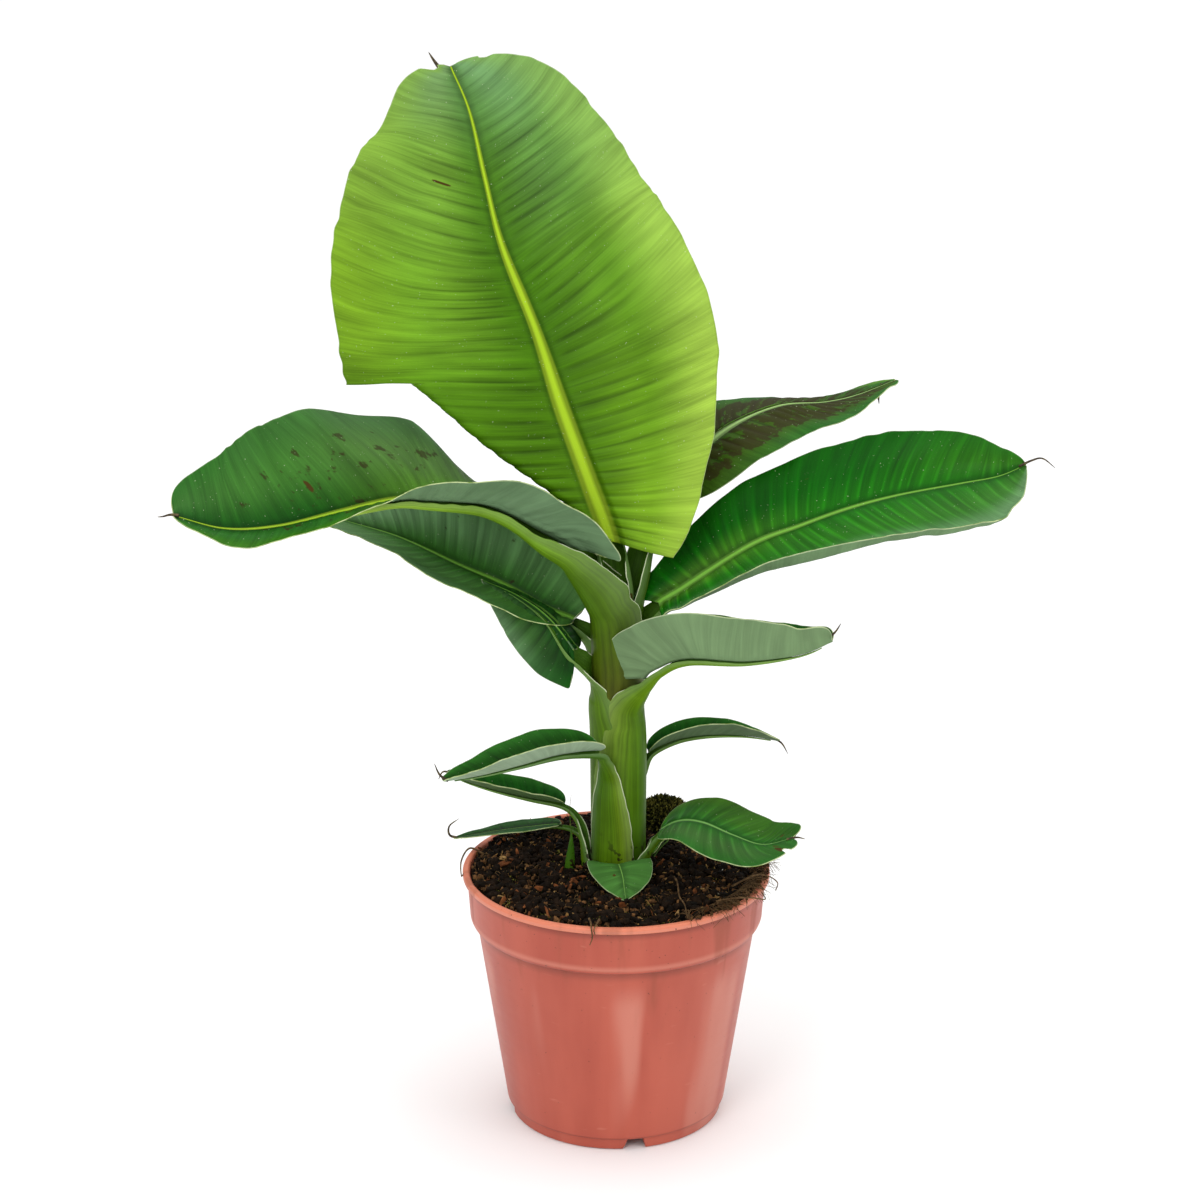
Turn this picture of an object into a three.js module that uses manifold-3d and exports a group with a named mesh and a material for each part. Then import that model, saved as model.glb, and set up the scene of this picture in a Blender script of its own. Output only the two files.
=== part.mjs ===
import * as THREE from 'three';
import { mergeVertices } from 'three/addons/utils/BufferGeometryUtils.js';
import Module from 'manifold-3d';

// A young banana plant in its nursery pot, in millimetres. +Z is up, the ground is z = 0 and the
// origin is on the pot's axis. The plant is its pseudostem, the leaves of two small suckers and
// nine leaves of its own; each leaf is a stalk with its midrib, and a thin blade that lies on it.

const GAP = 0.3;                 // clearance between pieces that touch
const WELD = 1e-4;               // points nearer than this are one point

const RIM_RADIUS = 95;
const POT_HEIGHT = 160;
const POT_WALL = 1.8;
const LIP_HEIGHT = 4.4;
const BAND_BOTTOM = 129;         // height of the step under the rim band
const BAND_RADIUS = 90.6;        // outside of the band at that step
const BODY_TOP_RADIUS = 86.7;
const BODY_FOOT_RADIUS = 68.6;
const FOOT_HEIGHT = 7.6;
const FOOT_RADIUS = 66;
const FOOT_WALL = 3.5;
const FLOOR_UNDERSIDE = 5;
const FLOOR_TOP = 7.4;
const PAD_RADIUS = 16;           // small flat pad under the middle of the floor
const PAD_SLOPE = 2;             // how much wider the pad is where it joins the floor
const LIP_OVERHANG = 2.6;        // how far the lip stands out from the band
const ROUND = 1;                 // size of the cut corners of the foot, the step and the lip
const POT_SIDES = 32;
const NOTCH_COUNT = 4;
const NOTCH_WIDTH = 13;
const NOTCH_TURN = -79.5;        // direction of the first notch, degrees from +X

const SOIL_EDGE_HEIGHT = 157;
const SOIL_GAP = 0.7;            // clearance between the soil and the pot's faceted wall
const SOIL_FOOT_INSET = 3;
const SOIL_CROWN = 8;            // how much higher the soil stands round the stem
const SOIL_LUMP = 1.4;
const SOIL_HEAP = 5;             // height of the heap on the left
const SOIL_HEAP_AT = [-66, 6];
const SOIL_HEAP_SPREAD = 20;
const SOIL_RINGS = 6;
const SOIL_SIDES = 24;

const STEM_POINTS = [[0.5, 0, 152], [1, 0, 205], [1, 0, 260], [0, 0, 312], [0, 1, 342]];
const STEM_RADII = [14.8, 15.4, 15.6, 14.4, 11];
const STEM_TOP = 348;
const STEM_STEPS = 12;
const STEM_SIDES = 16;

const MOSS_AT = [30, 58, 171];
const MOSS_SIZE = [16, 13, 11];
const MOSS_SIDES = 14;
const MOSS_RINGS = 9;

const BLADE_THICKNESS = 1.2;
const LARGE_BLADE = 100;         // blades longer than this have the large grid
const LARGE_GRID = [14, 8];      // steps along a blade and columns across it
const SMALL_GRID = [8, 6];
const END_SHARE = 0.004;         // share of a blade left off at its base and its tip
const TEAR_GAP = 0.005;          // half the share of a blade that a tear takes up
const TEAR_RISE = 1.2;           // power by which the torn part's crease runs out from the base
const LONG_STALK = 130;          // leaves longer than this have the finer stalk
const LONG_STALK_STEPS = 12;
const SHORT_STALK_STEPS = 7;
const STALK_SIDES = 6;
const LINE_DIVISIONS = 400;
const MIDRIB_END = 0.94;         // share of the whole leaf line that the midrib runs along
const MIDRIB_TIP_RADIUS = 0.6;
const VEIN_SWEEP = 16;           // degrees by which a vein turns towards the tip
const SECTION_STEPS = 8;
const TEAR_BEND = 0.15;          // share of the reach over which a torn part turns back
const MIDRIB_SEAT = 0.5;         // clearance between a blade and the midrib under it

// path: from the foot of the stalk to the tip. blade: index of the point where the blade starts.
// face: the way the upper face looks, at equal steps from the blade's base to its tip.
// width, veins, fold and curl are given for the left and the right half, seen from the base with
// the upper face up: half width, angle of the veins to the midrib, rise of the half from the
// midrib, and further turn at its margin, the last three at equal steps along the blade.
// outline: for each half, the power that places the widest point, the powers by which the width
// rises and falls, and in some halves the share of the width that the blade already has at its base.
// tear: one half is split along a vein, and the part below turns back from a share of its reach.
const LEAVES = [
  { name: 'leaf_01',
    path: [[0, 4, 338], [-4, 8, 368], [-17, 15, 404], [-33, 28, 445], [-49, 40, 491],
      [-69, 50, 540], [-79, 58, 579], [-88, 66, 617], [-99, 70, 643]],
    blade: 1, stalk: [6.5, 5.5], face: [[0.1, -1, 0.2], [0.1, -1, 0.2], [0.1, -1, 0.1]],
    outline: [[0.5, 0.85, 0.55], [0.74, 1.5, 0.54, 0.36]], width: [130, 107],
    veins: [[74, 77, 75, 67, 60], [119, 98, 78, 72, 85]],
    fold: [[10, 12, 12], [12, 12, 12]], curl: [[-20, -20, -20], [-30, -30, -20]],
    tear: { half: 0, below: 0.335, from: 0.58, turn: -150 } },
  { name: 'leaf_02',
    path: [[6, 7, 330], [17, 20, 366], [30, 34, 392], [50, 46, 414], [72, 56, 429],
      [100, 70, 437], [128, 82, 436], [149, 92, 438], [172, 100, 445]],
    blade: 2, stalk: [5, 4.2], face: [[0, -0.6, 0.8], [0, -0.6, 0.8], [0, -0.2, 1]],
    outline: [[0.75, 0.6, 0.6], [0.75, 0.6, 0.6]], width: [34, 39],
    veins: [[115, 70, 50, 40, 30], [115, 70, 50, 40, 30]],
    fold: [[20, -30, 10], [8, 8, 8]], curl: [[0, -60, 0], [-20, -20, 30]] },
  { name: 'leaf_03',
    path: [[-2, -3, 335], [-14, -3, 352], [-28, -2, 368], [-46, -3, 379], [-64, -5, 389],
      [-81, -8, 396], [-110, -14, 400], [-131, -20, 402], [-162, -32, 398], [-197, -45, 393],
      [-227, -54, 394], [-255, -62, 404]],
    blade: 2, stalk: [9, 5], face: [[0, 0, 1], [0, 0, 1], [0, -0.1, 1]],
    outline: [[0.45, 0.5, 0.6, 0.6], [0.65, 0.5, 0.4]], width: [39, 75],
    veins: [[150, 112, 82, 68, 65], [110, 85, 72, 74, 85]],
    fold: [[75, 46, 30, 13, 4, -16, -25], [-15, 6, 38, 54, 54, 42, 25]], curl:
      [[0, 6, 6, 0, 0, 0, 0], [0, 0, 0]] },
  { name: 'leaf_04',
    path: [[12, -2, 316], [25, 0, 332], [38, 2, 340], [80, 8, 366], [110, 12, 377],
      [140, 16, 387], [170, 20, 394], [207, 24, 400], [230, 26, 404], [246, 26, 411]],
    blade: 1, stalk: [5, 4.2], face: [[-0.3, -0.5, 0.8], [-0.2, -0.5, 0.8], [0, -0.5, 0.9]],
    outline: [[1.15, 0.85, 0.62, 0.32], [1.55, 0.9, 0.72, 0.3]], width: [52, 54],
    veins: [[128, 85, 68, 64, 75], [115, 85, 68, 66, 75]],
    fold: [[14, 14, 14], [4, 4, 4]], curl: [[0, 0, 0], [45, 30, 10]] },
  { name: 'leaf_05',
    path: [[-8, 6, 306], [-26, 10, 318], [-43, 14, 324], [-69, 24, 336], [-96, 34, 345],
      [-133, 46, 359], [-166, 57, 366], [-180, 62, 370]],
    blade: 1, stalk: [5, 4.2], face: [[0, -0.2, 1], [0, -0.2, 1], [0, 0, 1]],
    outline: [[0.9, 0.6, 0.5], [0.75, 0.6, 0.6]], width: [44, 58],
    veins: [[110, 85, 70, 55, 35], [115, 88, 70, 55, 35]],
    fold: [[10, 10, 8], [40, 36, 20]], curl: [[20, 20, 20], [0, 0, 0]] },
  { name: 'leaf_06',
    path: [[-6, -12, 262], [-15, -18, 288], [-26, -14, 307], [-41, -4, 324], [-60, 8, 334],
      [-82, 20, 340]],
    blade: 2, stalk: [6, 4], face: [[0, -0.3, 1], [0, -0.3, 1], [0, -0.2, 1]],
    outline: [[0.5, 0.6, 0.9, 0.7], [0.75, 0.6, 0.6]], width: [30, 30],
    veins: [[128, 108, 85, 66, 60], [110, 85, 70, 60, 60]],
    fold: [[-30, -34, -22], [-30, -30, -20]], curl: [[-10, -10, 0], [-10, -10, 0]] },
  { name: 'leaf_07',
    path: [[10, -10, 240], [12, -17, 272], [17, -24, 292], [25, -30.5, 301], [42, -39.5, 310],
      [76, -47, 311], [108, -52, 317], [126, -55, 326]],
    blade: 2, stalk: [6, 3.6], face: [[0, 0, 1], [0, 0, 1], [0, 0, 1]],
    outline: [[0.7, 0.4, 0.4], [0.5, 0.7, 0.3, 1.7]], width: [29, 31],
    veins: [[120, 95, 75, 70, 70], [130, 112, 88, 78, 75]],
    fold: [[45, 50, 40], [70, 78, 62]], curl: [[0, 0, 0], [20, 10, 0]] },
  { name: 'leaf_08',
    path: [[10, 2, 200], [13.5, 5, 222], [20, 8, 233], [37, 14, 239], [57, 20, 240],
      [80, 27, 237], [101, 34, 231]],
    blade: 2, stalk: [4, 2.6], face: [[0, 0, 1], [0, 0, 1], [0, 0, 1]],
    outline: [[0.75, 0.6, 0.6], [0.75, 0.6, 0.6]], width: [14, 15],
    veins: [[100, 80, 65, 50, 35], [100, 80, 65, 50, 35]],
    fold: [[35, 40, 30], [45, 50, 30]], curl: [[0, 0, 0], [0, 0, 0]] },
  { name: 'leaf_09',
    path: [[3, -12, 205], [2, -17, 226], [-3, -22, 241], [-10, -26, 247], [-34, -36, 248],
      [-58, -44, 244], [-81, -50, 240], [-102, -55, 238]],
    blade: 3, stalk: [5, 3], face: [[0, 0, 1], [0, 0, 1], [0, 0, 1]],
    outline: [[0.75, 0.55, 0.55], [0.75, 0.55, 0.55]], width: [15, 21],
    veins: [[140, 88, 65, 50, 35], [100, 80, 65, 50, 35]],
    fold: [[50, 50, 45], [40, 40, 35]], curl: [[0, 0, 0], [0, 0, 0]] },
  { name: 'sucker_left_leaf_01',
    path: [[-17, -8, 164], [-18, -6, 180], [-22, -3, 194], [-32, 0, 202], [-53, 5, 204],
      [-75, 8, 208], [-93, 10, 213], [-104, 12, 218]],
    blade: 3, stalk: [4, 2.2], face: [[0, 0, 1], [0, 0, 1], [0, 0, 1]],
    outline: [[0.75, 0.6, 0.6], [0.75, 0.6, 0.6]], width: [11, 15],
    veins: [[100, 80, 65, 50, 35], [100, 80, 65, 50, 35]],
    fold: [[40, 40, 40], [35, 35, 35]], curl: [[0, 0, 0], [0, 0, 0]] },
  { name: 'sucker_left_leaf_02',
    path: [[-15, 12, 166], [-23, 14, 178], [-35, 18, 181], [-54, 24, 177], [-79, 30, 171],
      [-102, 34, 165]],
    blade: 2, stalk: [3.2, 1.8], face: [[0, 0, 1], [0, 0, 1], [0, 0, 1]],
    outline: [[0.75, 0.6, 0.6], [0.75, 0.6, 0.6]], width: [12, 13],
    veins: [[100, 80, 65, 50, 35], [100, 80, 65, 50, 35]],
    fold: [[6, 6, 6], [6, 6, 6]], curl: [[0, 0, 0], [0, 0, 0]] },
  { name: 'sucker_right_leaf_01',
    path: [[13, -12, 164], [18, -17, 180], [27, -22, 194], [39, -27, 202], [53, -33, 203],
      [71, -41, 198], [88, -48, 195], [105, -53, 201]],
    blade: 2, stalk: [5, 2.6], face: [[0, -0.2, 1], [0, -0.2, 1], [0, -0.2, 1]],
    outline: [[0.95, 0.55, 0.45], [0.9, 0.55, 0.5]], width: [29, 31],
    veins: [[110, 85, 65, 50, 45], [110, 85, 65, 50, 45]],
    fold: [[6, 6, 6], [2, 0, 0]], curl: [[0, 0, 0], [0, -10, 0]] },
  { name: 'sucker_right_leaf_02',
    path: [[19, -3, 163], [22, 1, 168], [26, 5, 172], [33, 9, 177]],
    blade: 1, stalk: [2.4, 1.6], face: [[0, 0, 1], [0, 0, 1], [0, 0, 1]],
    outline: [[0.75, 0.6, 0.6], [0.75, 0.6, 0.6]], width: [7, 7],
    veins: [[100, 80, 65, 50, 35], [100, 80, 65, 50, 35]],
    fold: [[40, 40, 40], [40, 40, 40]], curl: [[0, 0, 0], [0, 0, 0]] },
  { name: 'front_leaf',
    path: [[2, -17, 164], [1, -25, 172], [2, -32, 174], [4, -42, 171], [5, -52, 167],
      [6, -61, 164]],
    blade: 1, stalk: [3, 1.8], face: [[0, -0.2, 1], [0, -0.3, 1], [0, -0.3, 1]],
    outline: [[0.46, 0.4, 0.85, 0.75], [0.46, 0.4, 0.85, 0.75]], width: [20, 19.5],
    veins: [[130, 95, 68, 50, 40], [130, 95, 68, 50, 40]],
    fold: [[8, 8, 8], [8, 8, 8]], curl: [[-10, -10, 0], [-10, -10, 0]] },
];

const wasm = await Module();
wasm.setup();

function material(color, roughness) {
  return new THREE.MeshStandardMaterial({ color, roughness, metalness: 0 });
}

const POT_FINISH = { color: '#bd6553', roughness: 0.4 };
const SOIL_FINISH = { color: '#2b211a', roughness: 0.95 };
const MOSS_FINISH = { color: '#4a5528', roughness: 0.95 };
const STEM_FINISH = { color: '#7f9a3c', roughness: 0.5 };
const STALK_FINISH = { color: '#86a63f', roughness: 0.5 };
const BLADE_FINISH = { color: '#2f7a2b', roughness: 0.45 };

function toSolid(geometry) {
  const bare = geometry.clone();
  bare.deleteAttribute('normal');
  bare.deleteAttribute('uv');
  const merged = mergeVertices(bare, WELD);
  return new wasm.Manifold(new wasm.Mesh({
    numProp: 3,
    vertProperties: new Float32Array(merged.attributes.position.array),
    triVerts: new Uint32Array(merged.index.array),
  }));
}

function largest(solid) {
  return solid.decompose().reduce((a, b) => (a.volume() > b.volume() ? a : b));
}

function toGeometry(solid) {
  const mesh = solid.getMesh();
  const geometry = new THREE.BufferGeometry();
  geometry.setAttribute('position', new THREE.BufferAttribute(mesh.vertProperties, 3));
  geometry.setIndex(new THREE.BufferAttribute(mesh.triVerts, 1));
  geometry.computeVertexNormals();
  return geometry;
}

function indexedGeometry(points, faces) {
  const geometry = new THREE.BufferGeometry();
  const positions = points.flatMap((p) => [p.x, p.y, p.z]);
  geometry.setAttribute('position', new THREE.Float32BufferAttribute(positions, 3));
  geometry.setIndex(faces);
  geometry.computeVertexNormals();
  return geometry;
}

// Value at share t of a list of keys at equal steps, eased between neighbours.
function keyed(keys, t) {
  const place = Math.min(Math.max(t, 0), 1) * (keys.length - 1);
  const index = Math.min(Math.floor(place), keys.length - 2);
  const ease = THREE.MathUtils.smoothstep(place - index, 0, 1);
  return keys[index] * (1 - ease) + keys[index + 1] * ease;
}

function keyedVector(keys, t) {
  return new THREE.Vector3(...[0, 1, 2].map((axis) => keyed(keys.map((key) => key[axis]), t)));
}

// Rings of points joined side to side, closed at both ends by a fan to the ring's middle.
function ringSolid(rings) {
  const sides = rings[0].length;
  const points = rings.flat();
  const faces = [];
  for (let row = 0; row + 1 < rings.length; row += 1) {
    for (let side = 0; side < sides; side += 1) {
      const a = row * sides + side;
      const b = row * sides + (side + 1) % sides;
      faces.push(a, b, b + sides, a, b + sides, a + sides);
    }
  }
  for (const [ring, base] of [[rings[0], 0], [rings[rings.length - 1], points.length - sides]]) {
    const middle = new THREE.Vector3();
    ring.forEach((point) => middle.addScaledVector(point, 1 / sides));
    const hub = points.push(middle) - 1;
    for (let side = 0; side < sides; side += 1) {
      const next = (side + 1) % sides;
      if (base === 0) faces.push(hub, base + next, base + side);
      else faces.push(hub, base + side, base + next);
    }
  }
  return indexedGeometry(points, faces);
}

// The line of a leaf, with the frame of its upper face at any length along it.
class LeafLine {
  constructor(leaf) {
    const points = leaf.path.map((p) => new THREE.Vector3(...p));
    this.curve = new THREE.CatmullRomCurve3(points, false, 'catmullrom', 0.5);
    this.curve.arcLengthDivisions = LINE_DIVISIONS;
    this.total = this.curve.getLength();
    const lengths = this.curve.getLengths();
    this.bladeStart = lengths[Math.round(LINE_DIVISIONS * leaf.blade / (points.length - 1))];
    this.bladeLength = this.total - this.bladeStart;
    this.faces = leaf.face;
  }

  frame(distance) {
    const share = Math.min(Math.max(distance / this.total, 0), 1);
    const at = this.curve.getPointAt(share);
    const along = this.curve.getTangentAt(share);
    at.addScaledVector(along, distance - share * this.total);
    const up = keyedVector(this.faces, (distance - this.bladeStart) / this.bladeLength);
    up.addScaledVector(along, -up.dot(along)).normalize();
    const right = new THREE.Vector3().crossVectors(along, up);
    return { at, along, up, right };
  }
}

// Length of the veins as a share of the half width: from the base's share through 1 to 0 at the tip.
function outline(leaf, half, u) {
  const [skew, rise, fall, root = 0] = leaf.outline[half];
  const turn = Math.PI * u ** skew;
  const wave = Math.sin(turn);
  return turn < Math.PI / 2 ? root + (1 - root) * wave ** rise : wave ** fall;
}

// A point of the blade: u runs along the midrib, v out along a vein from -1 (left margin) to 1.
// The flat leaf is bent across the midrib by the section's slope, added up in short steps.
function bladePoint(leaf, line, u, v, lift) {
  const half = v < 0 ? 0 : 1;
  const side = v < 0 ? -1 : 1;
  const reach = leaf.width[half] * outline(leaf, half, u) * Math.abs(v);
  const turn = keyed(leaf.veins[half], u) - VEIN_SWEEP * Math.abs(v) / 2;
  const vein = THREE.MathUtils.degToRad(turn);
  const across = reach * Math.sin(vein);
  const { at, up, right } = line.frame(line.bladeStart + line.bladeLength * u
    + reach * Math.cos(vein));
  const fold = keyed(leaf.fold[half], u);
  const curl = keyed(leaf.curl[half], u);
  const tear = leaf.tear && leaf.tear.half === half && u < leaf.tear.below ? leaf.tear : null;
  const slopeAt = (distance) => {
    let slope = fold + curl * (distance / leaf.width[half]) ** 2;
    if (tear) {
      const share = distance / (leaf.width[half] * outline(leaf, half, u));
      const crease = tear.from * (u / tear.below) ** TEAR_RISE;
      slope += tear.turn * THREE.MathUtils.smoothstep(share, crease, crease + TEAR_BEND);
    }
    return THREE.MathUtils.degToRad(slope);
  };
  const point = at.clone();
  for (let step = 0; step < SECTION_STEPS; step += 1) {
    const slope = slopeAt(across * (step + 0.5) / SECTION_STEPS);
    point.addScaledVector(right, side * Math.cos(slope) * across / SECTION_STEPS);
    point.addScaledVector(up, Math.sin(slope) * across / SECTION_STEPS);
  }
  const slope = slopeAt(across);
  point.addScaledVector(right, -side * Math.sin(slope) * lift);
  point.addScaledVector(up, Math.cos(slope) * lift);
  return point;
}

// A thin closed blade: the upper grid, the lower grid, and a wall round their common edge.
function bladeGeometry(leaf, line, thickness) {
  const [steps, columns] = line.bladeLength > LARGE_BLADE ? LARGE_GRID : SMALL_GRID;
  const shares = Array.from({ length: steps + 1 },
    (_, step) => 0.5 - (0.5 - END_SHARE) * Math.cos(Math.PI * step / steps));
  if (leaf.tear) shares.push(leaf.tear.below - TEAR_GAP, leaf.tear.below + TEAR_GAP);
  shares.sort((a, b) => a - b);
  const rows = shares.length - 1;
  const points = [];
  for (const lift of [thickness / 2, -thickness / 2]) {
    for (const u of shares) {
      for (let column = 0; column <= columns; column += 1) {
        const v = Math.sin(Math.PI * (column / columns - 0.5));
        points.push(bladePoint(leaf, line, u, v, lift));
      }
    }
  }
  const wide = columns + 1;
  const sheet = wide * (rows + 1);
  const faces = [];
  for (let row = 0; row < rows; row += 1) {
    for (let column = 0; column < columns; column += 1) {
      const a = row * wide + column;
      const b = a + 1;
      faces.push(a, b, b + wide, a, b + wide, a + wide);
      faces.push(sheet + a, sheet + b + wide, sheet + b, sheet + a, sheet + a + wide,
        sheet + b + wide);
    }
  }
  const edge = [];
  for (let column = 0; column < columns; column += 1) edge.push(column);
  for (let row = 0; row < rows; row += 1) edge.push(row * wide + columns);
  for (let column = columns; column > 0; column -= 1) edge.push(rows * wide + column);
  for (let row = rows; row > 0; row -= 1) edge.push(row * wide);
  edge.forEach((a, index) => {
    const b = edge[(index + 1) % edge.length];
    faces.push(a, sheet + a, sheet + b, a, sheet + b, b);
  });
  return indexedGeometry(points, faces);
}

// The stalk and its midrib: a tapered limb that starts on the line of the leaf and runs on just
// under the blade.
function stalkGeometry(leaf, line, extra) {
  const steps = line.total > LONG_STALK ? LONG_STALK_STEPS : SHORT_STALK_STEPS;
  const end = MIDRIB_END * line.total;
  const rings = [];
  for (let step = 0; step <= steps; step += 1) {
    const distance = end * step / steps;
    const { at, up, right } = line.frame(distance);
    const [foot, neck] = leaf.stalk;
    const radius = distance < line.bladeStart
      ? THREE.MathUtils.lerp(foot, neck, distance / line.bladeStart)
      : THREE.MathUtils.mapLinear(distance, line.bladeStart, end, neck, MIDRIB_TIP_RADIUS);
    const drop = (radius + BLADE_THICKNESS / 2 + MIDRIB_SEAT)
      * Math.min(distance / line.bladeStart, 1);
    const centre = at.addScaledVector(up, -drop);
    const ring = [];
    for (let side = 0; side < STALK_SIDES; side += 1) {
      const turn = 2 * Math.PI * (side + 0.5) / STALK_SIDES;
      ring.push(centre.clone().addScaledVector(right, (radius + extra) * Math.cos(turn))
        .addScaledVector(up, -(radius + extra) * Math.sin(turn)));
    }
    rings.push(ring);
  }
  return ringSolid(rings);
}

// The pseudostem: leaf sheaths rolled round each other, a tapering and slightly leaning limb.
function stemGeometry(extra) {
  const curve = new THREE.CatmullRomCurve3(STEM_POINTS.map((p) => new THREE.Vector3(...p)));
  const rings = [];
  for (let step = 0; step <= STEM_STEPS; step += 1) {
    const at = curve.getPoint(step / STEM_STEPS);
    const radius = keyed(STEM_RADII, step / STEM_STEPS) + extra;
    rings.push(circle(at, radius, STEM_SIDES));
  }
  const crown = curve.getPoint(1);
  crown.z = STEM_TOP + extra;
  rings.push(circle(crown, STEM_RADII.at(-1) / 2 + extra, STEM_SIDES));
  rings[0].forEach((point) => { point.z -= extra; });
  return ringSolid(rings);
}

function circle(centre, radius, sides) {
  return Array.from({ length: sides }, (_, side) => {
    const turn = 2 * Math.PI * side / sides;
    return new THREE.Vector3(centre.x + radius * Math.cos(turn),
      centre.y + radius * Math.sin(turn), centre.z);
  });
}

// The pot is turned about the vertical axis, and its foot ring is cut by four drain notches.
function potGeometry() {
  const footInside = FOOT_RADIUS - FOOT_WALL;
  const footTop = FOOT_HEIGHT - ROUND / 2;
  const lipBottom = POT_HEIGHT - LIP_HEIGHT;
  const bandTop = RIM_RADIUS - LIP_OVERHANG;
  const bandInside = BAND_RADIUS - POT_WALL;
  const bodyTopInside = BODY_TOP_RADIUS - POT_WALL;
  const bodyFootInside = BODY_FOOT_RADIUS - POT_WALL;
  const profile = [
    [0, 0], [PAD_RADIUS, 0], [PAD_RADIUS + PAD_SLOPE, FLOOR_UNDERSIDE],
    [footInside, FLOOR_UNDERSIDE], [footInside, 0], [FOOT_RADIUS, 0],
    [FOOT_RADIUS + ROUND, footTop], [BODY_FOOT_RADIUS, FOOT_HEIGHT],
    [BODY_TOP_RADIUS, BAND_BOTTOM - 2 * ROUND], [BAND_RADIUS - ROUND, BAND_BOTTOM - ROUND],
    [BAND_RADIUS, BAND_BOTTOM + ROUND], [bandTop, lipBottom], [RIM_RADIUS, lipBottom + ROUND / 2],
    [RIM_RADIUS, POT_HEIGHT - ROUND], [RIM_RADIUS - ROUND, POT_HEIGHT],
    [bandTop - ROUND, POT_HEIGHT], [bandTop - POT_WALL, POT_HEIGHT - ROUND],
    [bandInside, BAND_BOTTOM + 3 * ROUND], [bodyTopInside, BAND_BOTTOM - ROUND],
    [bodyFootInside, FLOOR_TOP + 2 * ROUND], [bodyFootInside - 2 * ROUND, FLOOR_TOP],
    [0, FLOOR_TOP],
  ].map(([radius, height]) => new THREE.Vector2(radius, height));
  let solid = toSolid(new THREE.LatheGeometry(profile, POT_SIDES).rotateX(Math.PI / 2));
  const depth = 2 * (BODY_FOOT_RADIUS - footInside) + ROUND;
  for (let index = 0; index < NOTCH_COUNT; index += 1) {
    const cutter = new THREE.BoxGeometry(depth, NOTCH_WIDTH, 2 * footTop);
    cutter.translate(BODY_FOOT_RADIUS, 0, 0);
    cutter.rotateZ(THREE.MathUtils.degToRad(NOTCH_TURN + 360 * index / NOTCH_COUNT));
    solid = solid.subtract(toSolid(cutter));
  }
  return toGeometry(solid);
}

// Inside radius of the pot at a height, less the clearance to the soil.
function soilRadius(height) {
  const bodyBottom = BODY_FOOT_RADIUS - POT_WALL - SOIL_GAP;
  const bodyTop = BODY_TOP_RADIUS - POT_WALL - SOIL_GAP;
  const top = BAND_BOTTOM - ROUND;
  return height < top
    ? THREE.MathUtils.mapLinear(height, FLOOR_TOP + 2 * ROUND, top, bodyBottom, bodyTop)
    : BAND_RADIUS - POT_WALL - SOIL_GAP;
}

function soilHeight(x, y) {
  const share = Math.min(Math.hypot(x, y) / soilRadius(SOIL_EDGE_HEIGHT), 1);
  const lumps = Math.sin(x / 9 + 1) * Math.cos(y / 11) + Math.sin((x + y) / 6.5);
  const apart = Math.hypot(x - SOIL_HEAP_AT[0], y - SOIL_HEAP_AT[1]) / SOIL_HEAP_SPREAD;
  return SOIL_EDGE_HEIGHT + SOIL_CROWN * (1 - share ** 2) + SOIL_HEAP * Math.exp(-(apart ** 2))
    + SOIL_LUMP * lumps * (1 - share ** 4);
}

// The soil fills the pot from its floor and follows its wall and its step.
function soilGeometry() {
  const origin = new THREE.Vector3();
  const foot = FLOOR_TOP + 2 * ROUND;
  const wall = [foot + GAP, BAND_BOTTOM - 1.1 * ROUND, BAND_BOTTOM + 4 * ROUND, SOIL_EDGE_HEIGHT];
  const rings = [circle(origin.setZ(FLOOR_TOP + GAP), soilRadius(foot) - SOIL_FOOT_INSET,
    SOIL_SIDES)];
  wall.forEach((height) => {
    rings.push(circle(origin.setZ(height), soilRadius(height), SOIL_SIDES));
  });
  for (let ring = SOIL_RINGS - 1; ring > 0; ring -= 1) {
    const radius = soilRadius(SOIL_EDGE_HEIGHT) * ring / SOIL_RINGS;
    const points = circle(origin, radius, SOIL_SIDES);
    points.forEach((point) => { point.z = soilHeight(point.x, point.y); });
    rings.push(points);
  }
  return ringSolid(rings);
}

// A lump of moss that has grown on the soil behind the stem.
function mossGeometry() {
  const lump = new THREE.SphereGeometry(1, MOSS_SIDES, MOSS_RINGS);
  lump.scale(...MOSS_SIZE);
  lump.translate(...MOSS_AT);
  return lump;
}

const stem = toSolid(stemGeometry(0));
const stemClearance = toSolid(stemGeometry(GAP));
const soil = toSolid(soilGeometry()).subtract(stemClearance);
const soilClearance = toSolid(soilGeometry()).translate([0, 0, GAP]);

const group = new THREE.Group();

function add(name, geometry, finish) {
  const mesh = new THREE.Mesh(geometry, material(finish.color, finish.roughness));
  mesh.name = name;
  group.add(mesh);
}

add('pot', potGeometry(), POT_FINISH);
add('soil', toGeometry(soil), SOIL_FINISH);
add('moss', toGeometry(toSolid(mossGeometry()).subtract(soilClearance)), MOSS_FINISH);
add('pseudostem', toGeometry(stem), STEM_FINISH);

let taken = stemClearance.add(soilClearance);
for (const leaf of LEAVES) {
  const line = new LeafLine(leaf);
  const blade = largest(toSolid(bladeGeometry(leaf, line, BLADE_THICKNESS)).subtract(taken));
  const bladeClearance = toSolid(bladeGeometry(leaf, line, BLADE_THICKNESS + 2 * GAP));
  const stalk = largest(toSolid(stalkGeometry(leaf, line, 0)).subtract(taken)
    .subtract(bladeClearance));
  taken = taken.add(toSolid(stalkGeometry(leaf, line, GAP))).add(bladeClearance);
  add(`${leaf.name}_stalk`, toGeometry(stalk), STALK_FINISH);
  add(`${leaf.name}_blade`, toGeometry(blade), BLADE_FINISH);
}

export default group;
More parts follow.
